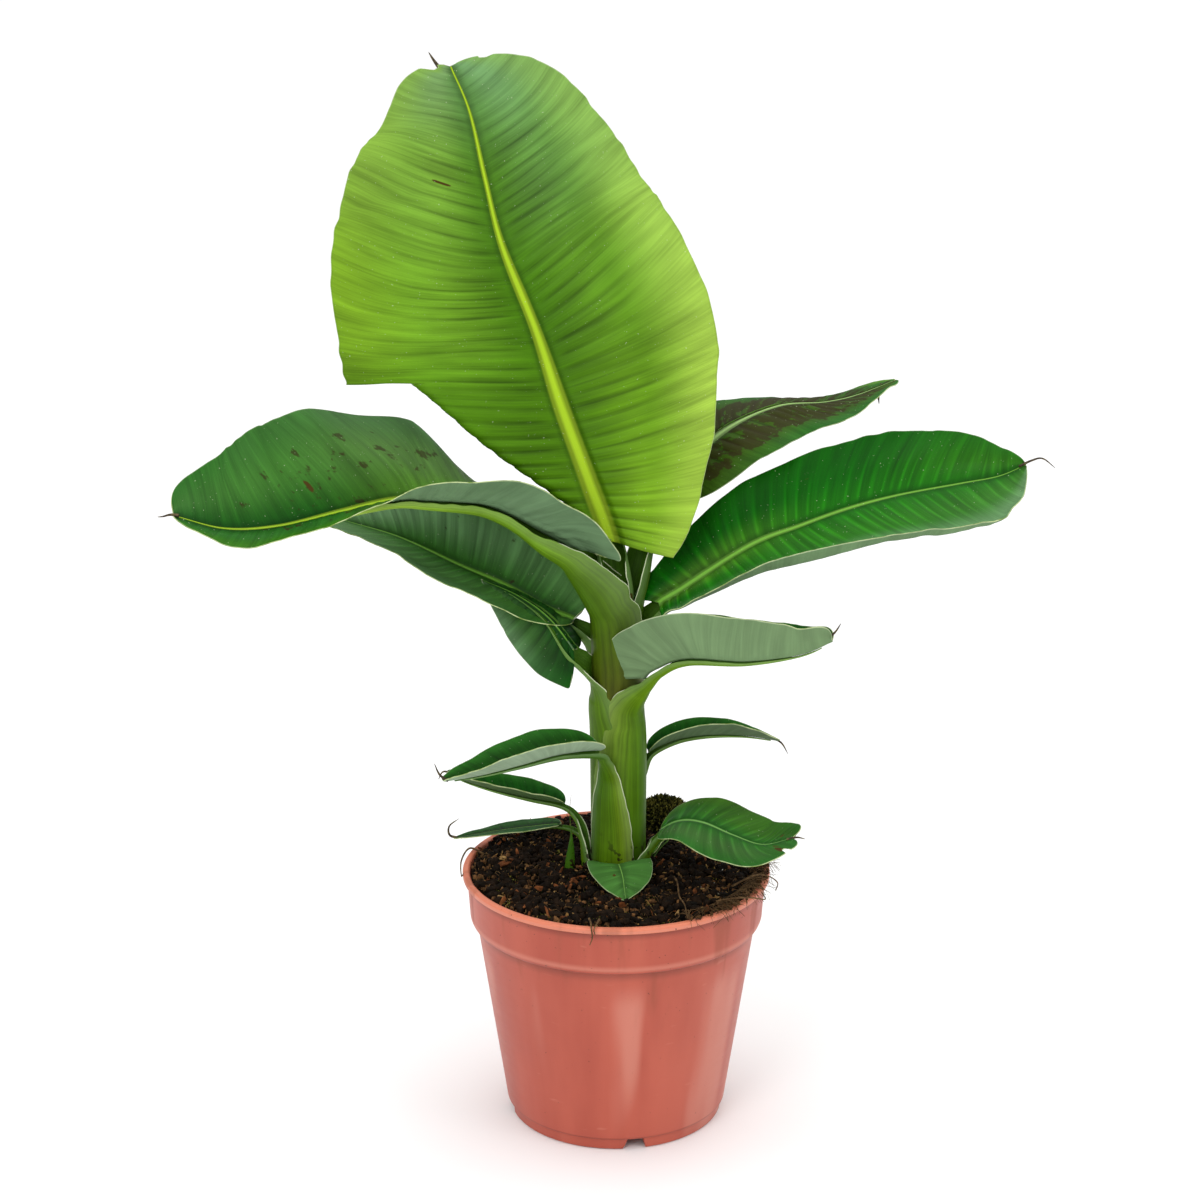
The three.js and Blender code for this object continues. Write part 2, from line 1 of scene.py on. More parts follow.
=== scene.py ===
"""The looks of a potted banana plant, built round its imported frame.

Lengths in the tables are millimetres and angles are degrees, and a mesh is scaled to metres as it
is made; shader numbers and the studio are in metres. The soil and the leaves follow the rules of
the part's own solids, with more rows and columns and with what only shows close to. Most stalks
are thicker than the part's, and leaf_03, leaf_04 and leaf_06 have a few other numbers.
"""

import math

import bmesh
import bpy
import numpy as np
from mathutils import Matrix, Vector


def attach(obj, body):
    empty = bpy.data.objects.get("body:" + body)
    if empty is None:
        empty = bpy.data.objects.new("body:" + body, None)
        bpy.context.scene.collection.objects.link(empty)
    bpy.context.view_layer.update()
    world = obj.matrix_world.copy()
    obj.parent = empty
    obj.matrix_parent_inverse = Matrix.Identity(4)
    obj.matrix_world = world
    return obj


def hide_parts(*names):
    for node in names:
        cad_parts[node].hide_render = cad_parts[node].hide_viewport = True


MM = 0.001
BODY = "root"
RIPPLE_TABLE = 64

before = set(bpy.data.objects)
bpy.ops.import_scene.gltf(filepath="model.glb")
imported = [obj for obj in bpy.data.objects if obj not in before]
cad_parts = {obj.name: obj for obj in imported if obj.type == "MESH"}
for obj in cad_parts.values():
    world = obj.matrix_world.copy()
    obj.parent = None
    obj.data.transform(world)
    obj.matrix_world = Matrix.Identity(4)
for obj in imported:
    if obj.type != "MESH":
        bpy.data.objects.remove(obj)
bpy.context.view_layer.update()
scene = bpy.context.scene


# ---------------------------------------------------------------- numbers

def smooth(x):
    """0 below 0, 1 above 1, and 3x^2 - 2x^3 between."""
    x = np.clip(x, 0, 1)
    return x * x * (3 - 2 * x)


def ramp(x, start, end):
    """0 where x is at start, 1 where it is at end, eased between; start may be above end."""
    return smooth((np.asarray(x, float) - start) / (end - start))


def keyed(keys, share):
    """Value at share 0..1 of a list of keys at equal steps, eased between neighbours."""
    keys = np.asarray(keys, float)
    place = np.clip(share, 0, 1) * (len(keys) - 1)
    low = np.minimum(place.astype(int), len(keys) - 2)
    blend = smooth(place - low)
    if keys.ndim > 1:
        blend = blend[..., None]
    return keys[low] * (1 - blend) + keys[low + 1] * blend


def ripple(x, y=0.0, seed=0):
    """Smooth random heights between -1 and 1, about one bump for each unit of x and y."""
    table = np.random.default_rng(seed).uniform(-1, 1, (RIPPLE_TABLE, RIPPLE_TABLE))
    x, y = np.broadcast_arrays(np.asarray(x, float), np.asarray(y, float))
    i, j = np.floor(x).astype(int), np.floor(y).astype(int)
    a, b = smooth(x - i), smooth(y - j)

    def corner(di, dj):
        return table[(i + di) % RIPPLE_TABLE, (j + dj) % RIPPLE_TABLE]

    return ((corner(0, 0) * (1 - a) + corner(1, 0) * a) * (1 - b)
            + (corner(0, 1) * (1 - a) + corner(1, 1) * a) * b)


def unit(v):
    """Rows of vectors brought to length one."""
    return v / np.maximum(np.linalg.norm(v, axis=-1, keepdims=True), 1e-12)


def dot(a, b):
    """Row by row products of vectors, kept as a column."""
    return np.sum(a * b, axis=-1, keepdims=True)


def turns(count):
    """Angles at even steps round a circle."""
    return np.linspace(0, 2 * np.pi, count, endpoint=False)


def polar(radius, angle, height):
    """Points from their distance to the axis, their angle round it and their height."""
    return np.stack(np.broadcast_arrays(radius * np.cos(angle), radius * np.sin(angle), height), -1)


def tone(red, green, blue):
    """A colour as a paint chart gives it, 0 to 255, turned into the linear numbers of a shader."""
    c = np.array([red, green, blue]) / 255
    return np.where(c <= 0.04045, c / 12.92, ((c + 0.055) / 1.055) ** 2.4)


class Line:
    """A smooth line through points (Catmull-Rom, tension one half), known by the distance along
    it, and carried on straight past its ends."""

    STEPS = 48

    def __init__(self, points):
        p = np.array(points, float)
        p = np.vstack([2 * p[0] - p[1], p, 2 * p[-1] - p[-2]])
        t = np.linspace(0, 1, self.STEPS, endpoint=False)[:, None]
        a, b, c, d = (p[k:len(p) - 3 + k, None, :] for k in range(4))
        curve = (2 * b + (c - a) * t + (2 * a - 5 * b + 4 * c - d) * t ** 2
                 + (3 * b - a - 3 * c + d) * t ** 3) / 2
        self.points = np.vstack([curve.reshape(-1, 3), p[-2:-1]])
        step = np.linalg.norm(np.diff(self.points, axis=0), axis=1)
        self.distance = np.concatenate([[0], np.cumsum(step)])
        self.total = self.distance[-1]
        self.heading = unit(np.gradient(self.points, self.distance, axis=0))

    def knot(self, index):
        """Distance along the line at which it passes its point number index."""
        return self.distance[index * self.STEPS]

    def at(self, distance):
        """Places and unit headings at these distances."""
        held = np.clip(distance, 0, self.total)
        place = np.stack([np.interp(held, self.distance, self.points[:, k]) for k in range(3)], -1)
        heading = unit(np.stack(
            [np.interp(held, self.distance, self.heading[:, k]) for k in range(3)], -1))
        return place + heading * (distance - held)[..., None], heading

    def spread(self, count):
        """That many places at even shares of the line's length."""
        return self.at(np.linspace(0, 1, count) * self.total)[0]


# ---------------------------------------------------------------- shader maths

class Field:
    """A shader socket. Arithmetic on fields adds Math nodes, and node() adds any other node."""

    def __init__(self, tree, socket=None):
        self.tree, self.socket = tree, socket

    def node(self, kind, inputs=None, output=0, **settings):
        """Adds a node of that kind. Its settings are set first, then values or fields go to its
        sockets, by name or number; one output comes back as a field."""
        made = self.tree.nodes.new("ShaderNode" + kind)
        for name, value in settings.items():
            setattr(made, name, value)
        for name, value in (inputs or {}).items():
            if isinstance(value, Field):
                self.tree.links.new(value.socket, made.inputs[name])
            else:
                if not np.isscalar(value) and made.inputs[name].type == "RGBA":
                    value = (*value, 1.0)
                made.inputs[name].default_value = value
        return Field(self.tree, made.outputs[output])

    def maths(self, operation, *values):
        return self.node("Math", dict(enumerate(values)), operation=operation)

    def __add__(self, other):
        return self.maths("ADD", self, other)

    __radd__ = __add__

    def __sub__(self, other):
        return self.maths("SUBTRACT", self, other)

    def __rsub__(self, other):
        return self.maths("SUBTRACT", other, self)

    def __mul__(self, other):
        return self.maths("MULTIPLY", self, other)

    __rmul__ = __mul__

    def __rtruediv__(self, other):
        return self.maths("DIVIDE", other, self)

    def above(self, start, end):
        """0 where the field is at start, 1 where it is at end, eased between."""
        return self.node("MapRange", {"Value": self, "From Min": start, "From Max": end},
                         interpolation_type="SMOOTHSTEP")

    def stripes(self, rows):
        """1 inside any of the stripes, each of which is given by where it starts, where it is
        full, where it begins to fade, and where it ends."""
        bands = [self.above(start, full) * self.above(end, fade) for start, full, fade, end in rows]
        return sum(bands[1:], bands[0])

    def size(self):
        return self.maths("ABSOLUTE", self)

    def scaled(self, amount):
        """A colour made lighter or darker by a number."""
        return self.node("VectorMath", {0: self, "Scale": amount}, operation="SCALE")

    def mixed(self, other, amount):
        """This colour going over to the other one as amount goes from 0 to 1."""
        return self.node("Mix", {0: amount, 6: self, 7: other}, output=2, data_type="RGBA")

    def parts(self):
        """The three numbers of a vector."""
        return [self.node("SeparateXYZ", {0: self}, output=k) for k in range(3)]

    def noise(self, scale, detail=2.0, rough=0.5):
        return self.node("TexNoise", {"Vector": self, "Scale": scale, "Detail": detail,
                                      "Roughness": rough})

    def bumped(self, strength, distance):
        return self.node("Bump", {"Height": self, "Strength": strength, "Distance": distance})


class Finish:
    """A new material with its Principled shader, and the fields that its pattern starts from."""

    def __init__(self, name, **uniform):
        self.material = bpy.data.materials.new(name)
        self.material.use_nodes = True
        tree = self.material.node_tree
        self.base = Field(tree)
        self.shader = next(n for n in tree.nodes if n.type == "BSDF_PRINCIPLED")
        for socket, value in uniform.items():
            self.shader.inputs[socket.replace("_", " ")].default_value = value

    def attribute(self, name, output=1):
        """A piece's own values: output 1 is a vector and output 0 a colour."""
        return self.base.node("Attribute", output=output, attribute_name=name)

    def place(self):
        """The place in the part's frame, in metres."""
        return self.base.node("TexCoord", output=3)

    def vector(self, x, y, z=0.0):
        return self.base.node("CombineXYZ", {0: x, 1: y, 2: z})

    def colour(self, shade):
        """A plain colour as a field."""
        return self.base.node("Mix", {0: 0.0, 6: shade, 7: shade}, output=2, data_type="RGBA")

    def wear(self, **fields):
        """Links fields to the shader's sockets."""
        for name, field in fields.items():
            self.base.tree.links.new(field.socket, self.shader.inputs[name.replace("_", " ")])
        return self.material


# ---------------------------------------------------------------- mesh making

def piece(name, points, faces, materials, slot, replaces=(), values=None, smooth_shaded=True,
          merge=0.0):
    """A named piece from points in millimetres and lists of faces; values are attributes with
    three numbers for each point, and points nearer than merge become one. It rides on the plant's
    one body."""
    mesh = bpy.data.meshes.new(name)
    flat = [row for block in faces for row in np.asarray(block).tolist()]
    mesh.from_pydata((np.asarray(points) * MM).tolist(), [], flat)
    for key, rows in (values or {}).items():
        layer = mesh.attributes.new(key, "FLOAT_VECTOR", "POINT")
        layer.data.foreach_set("vector", np.asarray(rows, np.float32).ravel())
    mesh.polygons.foreach_set("use_smooth", np.full(len(flat), smooth_shaded))
    if merge:
        work = bmesh.new()
        work.from_mesh(mesh)
        bmesh.ops.remove_doubles(work, verts=work.verts, dist=merge * MM)
        work.to_mesh(mesh)
        work.free()
    mesh.validate()
    mesh.update()
    for material in materials:
        mesh.materials.append(material)
    made = bpy.data.objects.new(name, mesh)
    scene.collection.objects.link(made)
    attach(made, BODY)
    if replaces:
        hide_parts(*replaces)
    return made


def grid_faces(rows, columns, closed=False):
    """Quads of a grid of rows by columns points; closed joins its last column to its first."""
    row, column = np.meshgrid(np.arange(rows - 1),
                              np.arange(columns if closed else columns - 1), indexing="ij")
    a = row * columns + column
    b = row * columns + (column + 1) % columns
    return np.stack([a, b, b + columns, a + columns], -1).reshape(-1, 4)


# ---------------------------------------------------------------- finishes

CREAM = tone(214, 224, 186)
MAROON = tone(46, 30, 14)
FINE_BUMP, SOIL_BUMP = 0.0005, 0.0012  # metres
POT_LIP = 0.1556, 0.1566  # heights in metres, where the lip's lighter colour comes in
# painted highlights: pale stripes along the edge of the band's step and the lip's lower edge
POT_PAINTED_HIGHLIGHTS = (0.1290, 0.1312, 0.1312, 0.1345), (0.1562, 0.1572, 0.1575, 0.1590)
POT_SHADE = ((0.1200, 0.1268, 0.1276, 0.1292), (0.150, 0.1548, 0.1558, 0.1566),
             (0.0066, 0.0074, 0.0080, 0.0092))


def leaf_upper():
    """Upper face of a blade: fine parallel veins, pleats with painted shade in their grooves, a
    midrib with a painted highlight on its crest and painted shade along its sides, pale edge
    and dark blotches. place is (along, across, distance to the edge) in mm, marks is
    (groove shading, blotch, half rib)."""
    look = Finish("leaf_upper", IOR=1.45, Specular_IOR_Level=0.09)
    along, across, edge = look.attribute("place").parts()
    groove_shading, stain, rib = look.attribute("marks").parts()
    fine = look.vector(along * 0.95, across * 0.015).noise(1.0, 3.0, 0.6)
    bands = look.vector(along * 0.17, across * 0.02, 5.0).noise(1.0, 1.0)
    cloud = look.place().noise(22.0, 3.0)
    # painted shade in the grooves of the pleats; where a leaf's light is above a half the mark is
    # negative and paints paler lines there instead
    bright = 0.55 * fine + 0.64 * bands + 0.34 * cloud - 0.30 * groove_shading - 0.05
    colour = look.attribute("tint", 0).scaled(bright)
    patch = look.vector(along * 0.13, across * 0.085, 9.0).noise(1.0, 3.0, 0.62)
    blotch = (patch + stain * 0.5).above(0.78, 0.86)
    colour = colour.mixed(MAROON, blotch * 0.72)
    middle = across.size() - rib
    share = across.size() * (1.0 / (rib + 0.01))
    # painted highlight: the rib's colour is lighter along its crest
    crest_highlight = share.above(0.72, 0.16)
    rib_colour = look.attribute("rib_tint", 0).scaled(
        0.34 + 0.20 * look.vector(along * 0.03, across * 1.3, 2.0).noise(1.0) + 0.50 * crest_highlight)
    # painted shade: darker next to the midrib, fading out about 5 mm from it
    colour = colour.scaled(1.0 - 0.30 * middle.above(5.0, 0.5))
    colour = colour.mixed(rib_colour, share.above(1.25, 0.8))
    colour = colour.mixed(CREAM, edge.above(0.5, 0.1) * 0.4)
    scar = look.attribute("scar", 0).parts()[0]
    colour = colour.mixed(tone(70, 52, 16), scar.above(0.25, 0.6))
    dust = look.place().noise(900.0, 1.0)
    colour = colour.mixed(tone(205, 215, 180), dust.above(0.745, 0.80) * 0.5)
    height = fine * 0.6 + bands * 0.5 + 0.3 * cloud
    rough = 0.36 + 0.14 * fine + 0.10 * cloud + blotch * 0.04
    return look.wear(Base_Color=colour, Roughness=rough,
                     Normal=height.bumped(0.55, FINE_BUMP))


def leaf_under():
    """Under face of a blade: greyer and duller, with raised fine veins and a faint painted
    highlight under the grooves of the upper face's pleats.
    """
    look = Finish("leaf_under", IOR=1.4, Specular_IOR_Level=0.16)
    along, across, edge = look.attribute("place").parts()
    groove_shading, _, _ = look.attribute("marks").parts()
    fine = look.vector(along * 1.05, across * 0.015, 3.0).noise(1.0, 3.0, 0.6)
    bands = look.vector(along * 0.15, across * 0.02, 8.0).noise(1.0, 1.0)
    cloud = look.place().noise(26.0, 3.0)
    # painted highlight: the groove shading mark lightens the under face a little, on the ridges
    # under the upper face's grooves
    bright = 0.22 + 0.30 * fine + 0.34 * bands + 0.40 * cloud + 0.10 * groove_shading
    colour = look.attribute("under", 0).scaled(bright)
    colour = colour.mixed(CREAM, edge.above(0.7, 0.15) * 0.5)
    height = fine * 0.7 + bands * 0.3 + 0.2 * cloud
    return look.wear(Base_Color=colour, Roughness=0.50 + 0.12 * fine + 0.06 * cloud,
                     Normal=height.bumped(0.5, FINE_BUMP))


def leaf_margin():
    """The thin cut edge of a blade, pale and a little dry."""
    look = Finish("leaf_margin", IOR=1.4)
    spots = look.place().noise(140.0, 3.0)
    colour = look.colour(tone(186, 200, 142)).mixed(tone(118, 142, 60), spots.above(0.42, 0.66))
    return look.wear(Base_Color=colour, Roughness=0.5 + 0.2 * spots)


def stalk_skin():
    """Skin of the sheaths, stalks and midribs: long fibres, a pale dry margin, brown mottling.
    place is (along mm, share of the section -1..1, distance to the edge mm), marks is
    (mottling, bloom, 0)."""
    look = Finish("stalk_skin", IOR=1.42, Specular_IOR_Level=0.14)
    along, across, edge = look.attribute("place").parts()
    mottle, bloom, _ = look.attribute("marks").parts()
    fibre = look.vector(along * 0.012, across * 13.0).noise(1.0, 4.0, 0.65)
    cloud = look.place().noise(60.0, 3.0)
    bright = 1.3 * fibre + 0.4 * cloud - 0.08
    colour = look.attribute("tint", 0).scaled(bright)
    streak = look.vector(along * 0.035, across * 7.0, 4.0).noise(1.0, 3.0, 0.7)
    spatter = look.place().noise(200.0, 2.0)
    low = look.place().parts()[2].above(0.195, 0.165)
    brown = (streak * 0.8 + mottle * 0.5).above(0.60, 0.84)
    colour = colour.mixed(tone(66, 42, 14), brown * 0.8)
    colour = colour.mixed(tone(150, 172, 134), bloom * (0.35 + 0.5 * cloud))
    colour = colour.mixed(CREAM, edge.above(0.75, 0.2) * 0.9)
    colour = colour.mixed(tone(30, 18, 8), (spatter + 0.06 * low).above(0.64, 0.66) * low)
    height = fibre * 0.8 + cloud * 0.3
    return look.wear(Base_Color=colour, Roughness=0.36 + 0.18 * fibre + 0.1 * cloud,
                     Normal=height.bumped(0.5, FINE_BUMP))


def dry_tip():
    """Withered tips and threads: brown to near black."""
    look = Finish("dry_tip", IOR=1.4)
    spots = look.place().noise(300.0, 3.0)
    colour = look.colour(tone(52, 40, 22)).mixed(tone(98, 84, 48), spots.above(0.45, 0.7))
    return look.wear(Base_Color=colour, Roughness=0.6 + 0.2 * spots,
                     Normal=spots.bumped(0.4, 0.0003))


def pot_plastic():
    """Moulded pot: satin brick-coloured plastic with flow lines, painted
    highlights along the edges of the step and the lip, painted shade in the grooves, a painted
    sheen of pale vertical streaks on the wall, scuffs and soil dust."""
    look = Finish("pot_plastic", IOR=1.46, Specular_IOR_Level=0.45)
    place = look.place()
    x, y, z = place.parts()
    cloud = place.noise(9.0, 4.0)
    flow = look.vector(x * 42.0, y * 42.0, z * 3.0).noise(1.0, 3.0)
    grain = place.noise(1400.0, 1.0)
    scuff = look.vector(x * 60.0, y * 60.0, z * 240.0).noise(1.0, 2.0)
    colour = look.colour(tone(168, 74, 56)).mixed(tone(184, 88, 68), (cloud + flow).above(0.7, 1.3))
    colour = colour.mixed(tone(214, 122, 92), z.above(*POT_LIP))
    colour = colour.mixed(tone(200, 124, 102), scuff.above(0.68, 0.78) * 0.3)
    # painted highlight: soft pale vertical streaks stand in for reflections on the wall below the
    # band
    painted_sheen = look.vector(x * 24.0, y * 24.0, z * 1.6).noise(1.0, 2.0)
    painted_sheen = painted_sheen.above(0.50, 0.66) * z.above(0.122, 0.10)
    colour = colour.mixed(tone(204, 132, 114), painted_sheen * 0.6)
    # painted highlights along the step's edge and the lip's lower edge
    colour = colour.mixed(tone(204, 130, 110), z.stripes(POT_PAINTED_HIGHLIGHTS) * 0.5)
    colour = colour.scaled(1.0 - 0.30 * z.stripes(POT_SHADE))
    drip = look.vector(x * 70.0, y * 70.0, z * 7.0).noise(1.0, 3.0)
    grime = (drip * 1.1 + z * 3.2).above(1.02, 1.22)
    colour = colour.mixed(tone(120, 66, 44), grime * 0.35)
    specks = place.noise(520.0, 2.0)
    colour = colour.mixed(tone(58, 38, 26), (specks + z * 0.4).above(0.77, 0.80) * 0.8)
    rough = 0.30 + 0.10 * cloud + 0.14 * grime + 0.12 * scuff
    height = grain * 0.25 + flow * 0.25 + scuff * 0.12
    return look.wear(Base_Color=colour, Roughness=rough, Normal=height.bumped(0.22, 0.0004))


def earth(name, dark, light, scale=220.0, rough=0.9):
    """Peat, bark, perlite or fibre: two colours in a fine broken pattern."""
    look = Finish(name, IOR=1.35, Specular_IOR_Level=0.2)
    place = look.place()
    grain = place.noise(scale, 4.0, 0.65)
    clods = place.noise(scale * 0.22, 3.0)
    colour = look.colour(dark).mixed(light, (grain * 0.75 + clods * 0.35).above(0.42, 0.75))
    height = grain + clods * 0.6
    return look.wear(Base_Color=colour, Roughness=(rough - 0.12) + 0.2 * grain,
                     Normal=height.bumped(0.8, SOIL_BUMP))


def floor_finish():
    """The studio's floor: pale, dull and faintly uneven."""
    look = Finish("studio_floor", IOR=1.3, Specular_IOR_Level=0.2)
    faint = look.place().noise(3.0, 2.0)
    colour = look.colour((0.93, 0.93, 0.93)).mixed((0.955, 0.955, 0.955), faint)
    return look.wear(Base_Color=colour, Roughness=0.7 + 0.1 * faint)


UPPER, UNDER, MARGIN = leaf_upper(), leaf_under(), leaf_margin()
SKIN, DRY = stalk_skin(), dry_tip()
POT_FINISH = pot_plastic()
PEAT = earth("peat", tone(8, 5, 2), tone(38, 25, 14))
PEAT_BROWN = earth("peat_brown", tone(40, 24, 10), tone(128, 90, 54))
BARK = earth("bark_chip", tone(70, 38, 18), tone(146, 86, 46), 160.0, 0.8)
OCHRE = earth("straw_chip", tone(120, 88, 46), tone(176, 142, 92), 160.0, 0.8)
PERLITE = earth("perlite", tone(186, 182, 172), tone(236, 232, 224), 400.0, 0.8)
FIBRE = earth("root_fibre", tone(70, 50, 30), tone(122, 96, 64), 300.0, 0.8)
MOSS_DARK = earth("moss_dark", tone(20, 22, 6), tone(62, 62, 22), 500.0, 0.9)
MOSS_LIGHT = earth("moss_light", tone(72, 72, 24), tone(142, 134, 62), 500.0, 0.9)


# ---------------------------------------------------------------- camera, light and floor

CAMERA_PLACE = Vector((0.0, -1.7195, 0.8852))
CAMERA_LENS, CAMERA_SENSOR = 90.0, 36.0
CAMERA_DOWN = math.radians(17.79)
CAMERA_TURN = -0.005833333333333334
SKY_BASE, SKY_RISE = 0.24, 1.15
LAMPS = (  # name, place, width and power
    ("lamp_left", (-1.0, -1.9, 1.35), 0.9, 15.0),
    ("lamp_right", (1.7, -1.1, 1.1), 0.8, 6.0),
    ("lamp_top", (0.2, 0.5, 2.2), 1.2, 6.0))
LAMP_AIM, LAMP_TALL = Vector((0, 0, 0.3)), 1.5
FLOOR_REACH, FLOOR_DROP = 20, 0.0004


def put(name, data, place, heading=None):
    """A new object at place; a camera or lamp looks along heading."""
    made = bpy.data.objects.new(name, data)
    made.location = place
    if heading:
        made.rotation_euler = heading.to_track_quat("-Z", "Y").to_euler()
    scene.collection.objects.link(made)
    return made


def studio():
    """The camera, three large soft lamps, surroundings that brighten upwards, and a pale floor."""
    camera = bpy.data.cameras.new("camera")
    camera.lens, camera.sensor_width = CAMERA_LENS, CAMERA_SENSOR
    heading = Vector((math.sin(CAMERA_TURN) * math.cos(CAMERA_DOWN),
                      math.cos(CAMERA_TURN) * math.cos(CAMERA_DOWN), -math.sin(CAMERA_DOWN)))
    scene.camera = put("camera", camera, CAMERA_PLACE, heading)

    world = bpy.data.worlds.new("studio")
    world.use_nodes = True
    scene.world = world
    sky = Field(world.node_tree)
    background = next(n for n in world.node_tree.nodes if n.type == "BACKGROUND")
    height = sky.node("SeparateXYZ", {0: sky.node("TexCoord", output=0)}, output=2)
    light = height.above(-0.05, 0.95) * SKY_RISE + SKY_BASE
    world.node_tree.links.new(sky.node("CombineXYZ", {0: light, 1: light, 2: light}).socket,
                              background.inputs["Color"])

    for name, place, size, power in LAMPS:
        lamp = bpy.data.lights.new(name, "AREA")
        lamp.shape, lamp.energy = "RECTANGLE", power
        lamp.size, lamp.size_y = size, size * LAMP_TALL
        put(name, lamp, place, LAMP_AIM - Vector(place))

    mesh = bpy.data.meshes.new("studio_floor")
    far = FLOOR_REACH
    mesh.from_pydata([(-far, -far, 0), (far, -far, 0), (far, far, 0), (-far, far, 0)], [],
                     [(0, 1, 2, 3)])
    mesh.materials.append(floor_finish())
    ground = put("studio_floor", mesh, (0, 0, -FLOOR_DROP))
    scene.view_settings.view_transform = "Standard"


# ---------------------------------------------------------------- pot

POT_PROFILE = [  # radius, height, how much the corner is rounded
    (0, 0, 0), (15.5, 0, 0.4), (18, 5, 0.4), (62.5, 5, 0.6), (62.5, 0, 0.5), (66, 0, 0.8),
    (66.8, 7.2, 0.4), (68.5, 7.7, 0.5), (86.5, 127, 1.2), (89.4, 128.3, 0.7), (90.5, 130.6, 0.9),
    (92.2, 155.3, 0.4), (92.9, 155.9, 0.3), (94.9, 156.2, 0.5), (95, 159.2, 0.7), (94.0, 160, 0.5),
    (91.6, 160, 0.6), (90.5, 158.8, 0.8), (88.7, 131.5, 1.2), (84.8, 128, 1.2), (66.7, 9.4, 1.2),
    (64.6, 7.4, 0.8), (0, 7.4, 0)]
POT_TURNS = 288
POT_RING_STEP = 8  # greatest height between rings
POT_WARP, POT_CREASE = 0.0016, 50  # out of round, as a share; angle of a sharp edge
NOTCH_TURN, NOTCH_COUNT, NOTCH_WIDTH, NOTCH_HEIGHT, NOTCH_CORNER = -79.5, 4, 13.0, 6.8, 1.6
FOOT_INNER, FOOT_MIDDLE, FOOT_LOW_SHARE = 61, 64, 0.7


def rounded(profile):
    """The profile with each corner cut to a short arc: a quadratic curve between the points that
    lie the corner's rounding before and after it."""
    out = [profile[0][:2]]
    for before, here, after in zip(profile, profile[1:], profile[2:]):
        p, q, r = (np.array(point[:2], float) for point in (before, here, after))
        first = q + (p - q) / np.linalg.norm(p - q) * here[2]
        last = q + (r - q) / np.linalg.norm(r - q) * here[2]
        for t in (0, 0.25, 0.5, 0.75, 1):
            out.append((1 - t) ** 2 * first + 2 * t * (1 - t) * q + t * t * last)
    out.append(profile[-1][:2])
    return np.array(out, float)


def pot():
    """The profile turned round the axis. Long walls get extra rings, the foot ring's lower points
    are lifted inside the drain notches, which have rounded corners, and the radius swells twice
    round the pot by a small share, towards the rim."""
    line = rounded(POT_PROFILE)
    long = np.linalg.norm(np.diff(line, axis=0), axis=1)
    rows = [line[0]]
    for start, end, length in zip(line, line[1:], long):
        count = max(1, int(length // POT_RING_STEP))
        rows += [start + (end - start) * k / count for k in range(1, count + 1)]
    rows = np.array(rows)
    radius, angle = np.meshgrid(rows[:, 0], turns(POT_TURNS), indexing="ij")
    height = np.repeat(rows[:, 1:], POT_TURNS, axis=1)
    period = 2 * np.pi / NOTCH_COUNT
    off = np.abs((angle - math.radians(NOTCH_TURN) + period / 2) % period - period / 2) * radius
    into = (NOTCH_WIDTH / 2 - off) / NOTCH_CORNER
    lift = NOTCH_HEIGHT * np.clip(into, 0, 1) ** 0.4
    lift = lift * np.where(radius < FOOT_MIDDLE, FOOT_LOW_SHARE, 1.0)
    foot = (radius > FOOT_INNER) & (height < NOTCH_HEIGHT)
    height = np.where(foot, np.maximum(height, lift), height)
    warp = 1 + POT_WARP * np.sin(2 * angle + 0.6) * ramp(height, 20, 160)
    points = polar(radius * warp, angle, height)
    made = piece("pot_shell", points.reshape(-1, 3), [grid_faces(len(rows), POT_TURNS, True)],
                 [POT_FINISH], "pot", ["pot"], merge=0.001)
    made.data.set_sharp_from_angle(angle=math.radians(POT_CREASE))


# ---------------------------------------------------------------- soil

SOIL_EDGE, SOIL_CROWN, SOIL_LUMP, SOIL_RADIUS = 157.0, 8.0, 1.4, 90.3
SOIL_GAP, SOIL_SINK, SOIL_FLOOR = 0.6, 1.2, 8.0
SOIL_RINGS, SOIL_TURNS = 150, 320
SOIL_WALL = (88.4, 150), (86.6, 133), (84.0, 126.5), (66.5, 10.0), (2.0, SOIL_FLOOR)
SOIL_RIPPLES = (13, 1.9), (6, 2.0), (2.8, 1.2), (1.4, 0.6)  # length and height of the bumps
HEAP_X, HEAP_Y, HEAP_HEIGHT, HEAP_SPREAD = -66, 6, 5.0, 420.0


def soil_height(x, y):
    """Heaped in the middle, with soft lumps: the same rule as the part's soil."""
    share = np.minimum(np.hypot(x, y) / SOIL_RADIUS, 1)
    lump = np.sin(x / 9 + 1) * np.cos(y / 11) + np.sin((x + y) / 6.5)
    return SOIL_EDGE + SOIL_CROWN * (1 - share ** 2) + SOIL_LUMP * lump * (1 - share ** 4)


def soil_top(x, y):
    """The soil rule with the heap against the left of the rim added, a bell of distance."""
    apart = (x - HEAP_X) ** 2 + (y - HEAP_Y) ** 2
    return soil_height(x, y) + HEAP_HEIGHT * np.exp(-apart / HEAP_SPREAD)


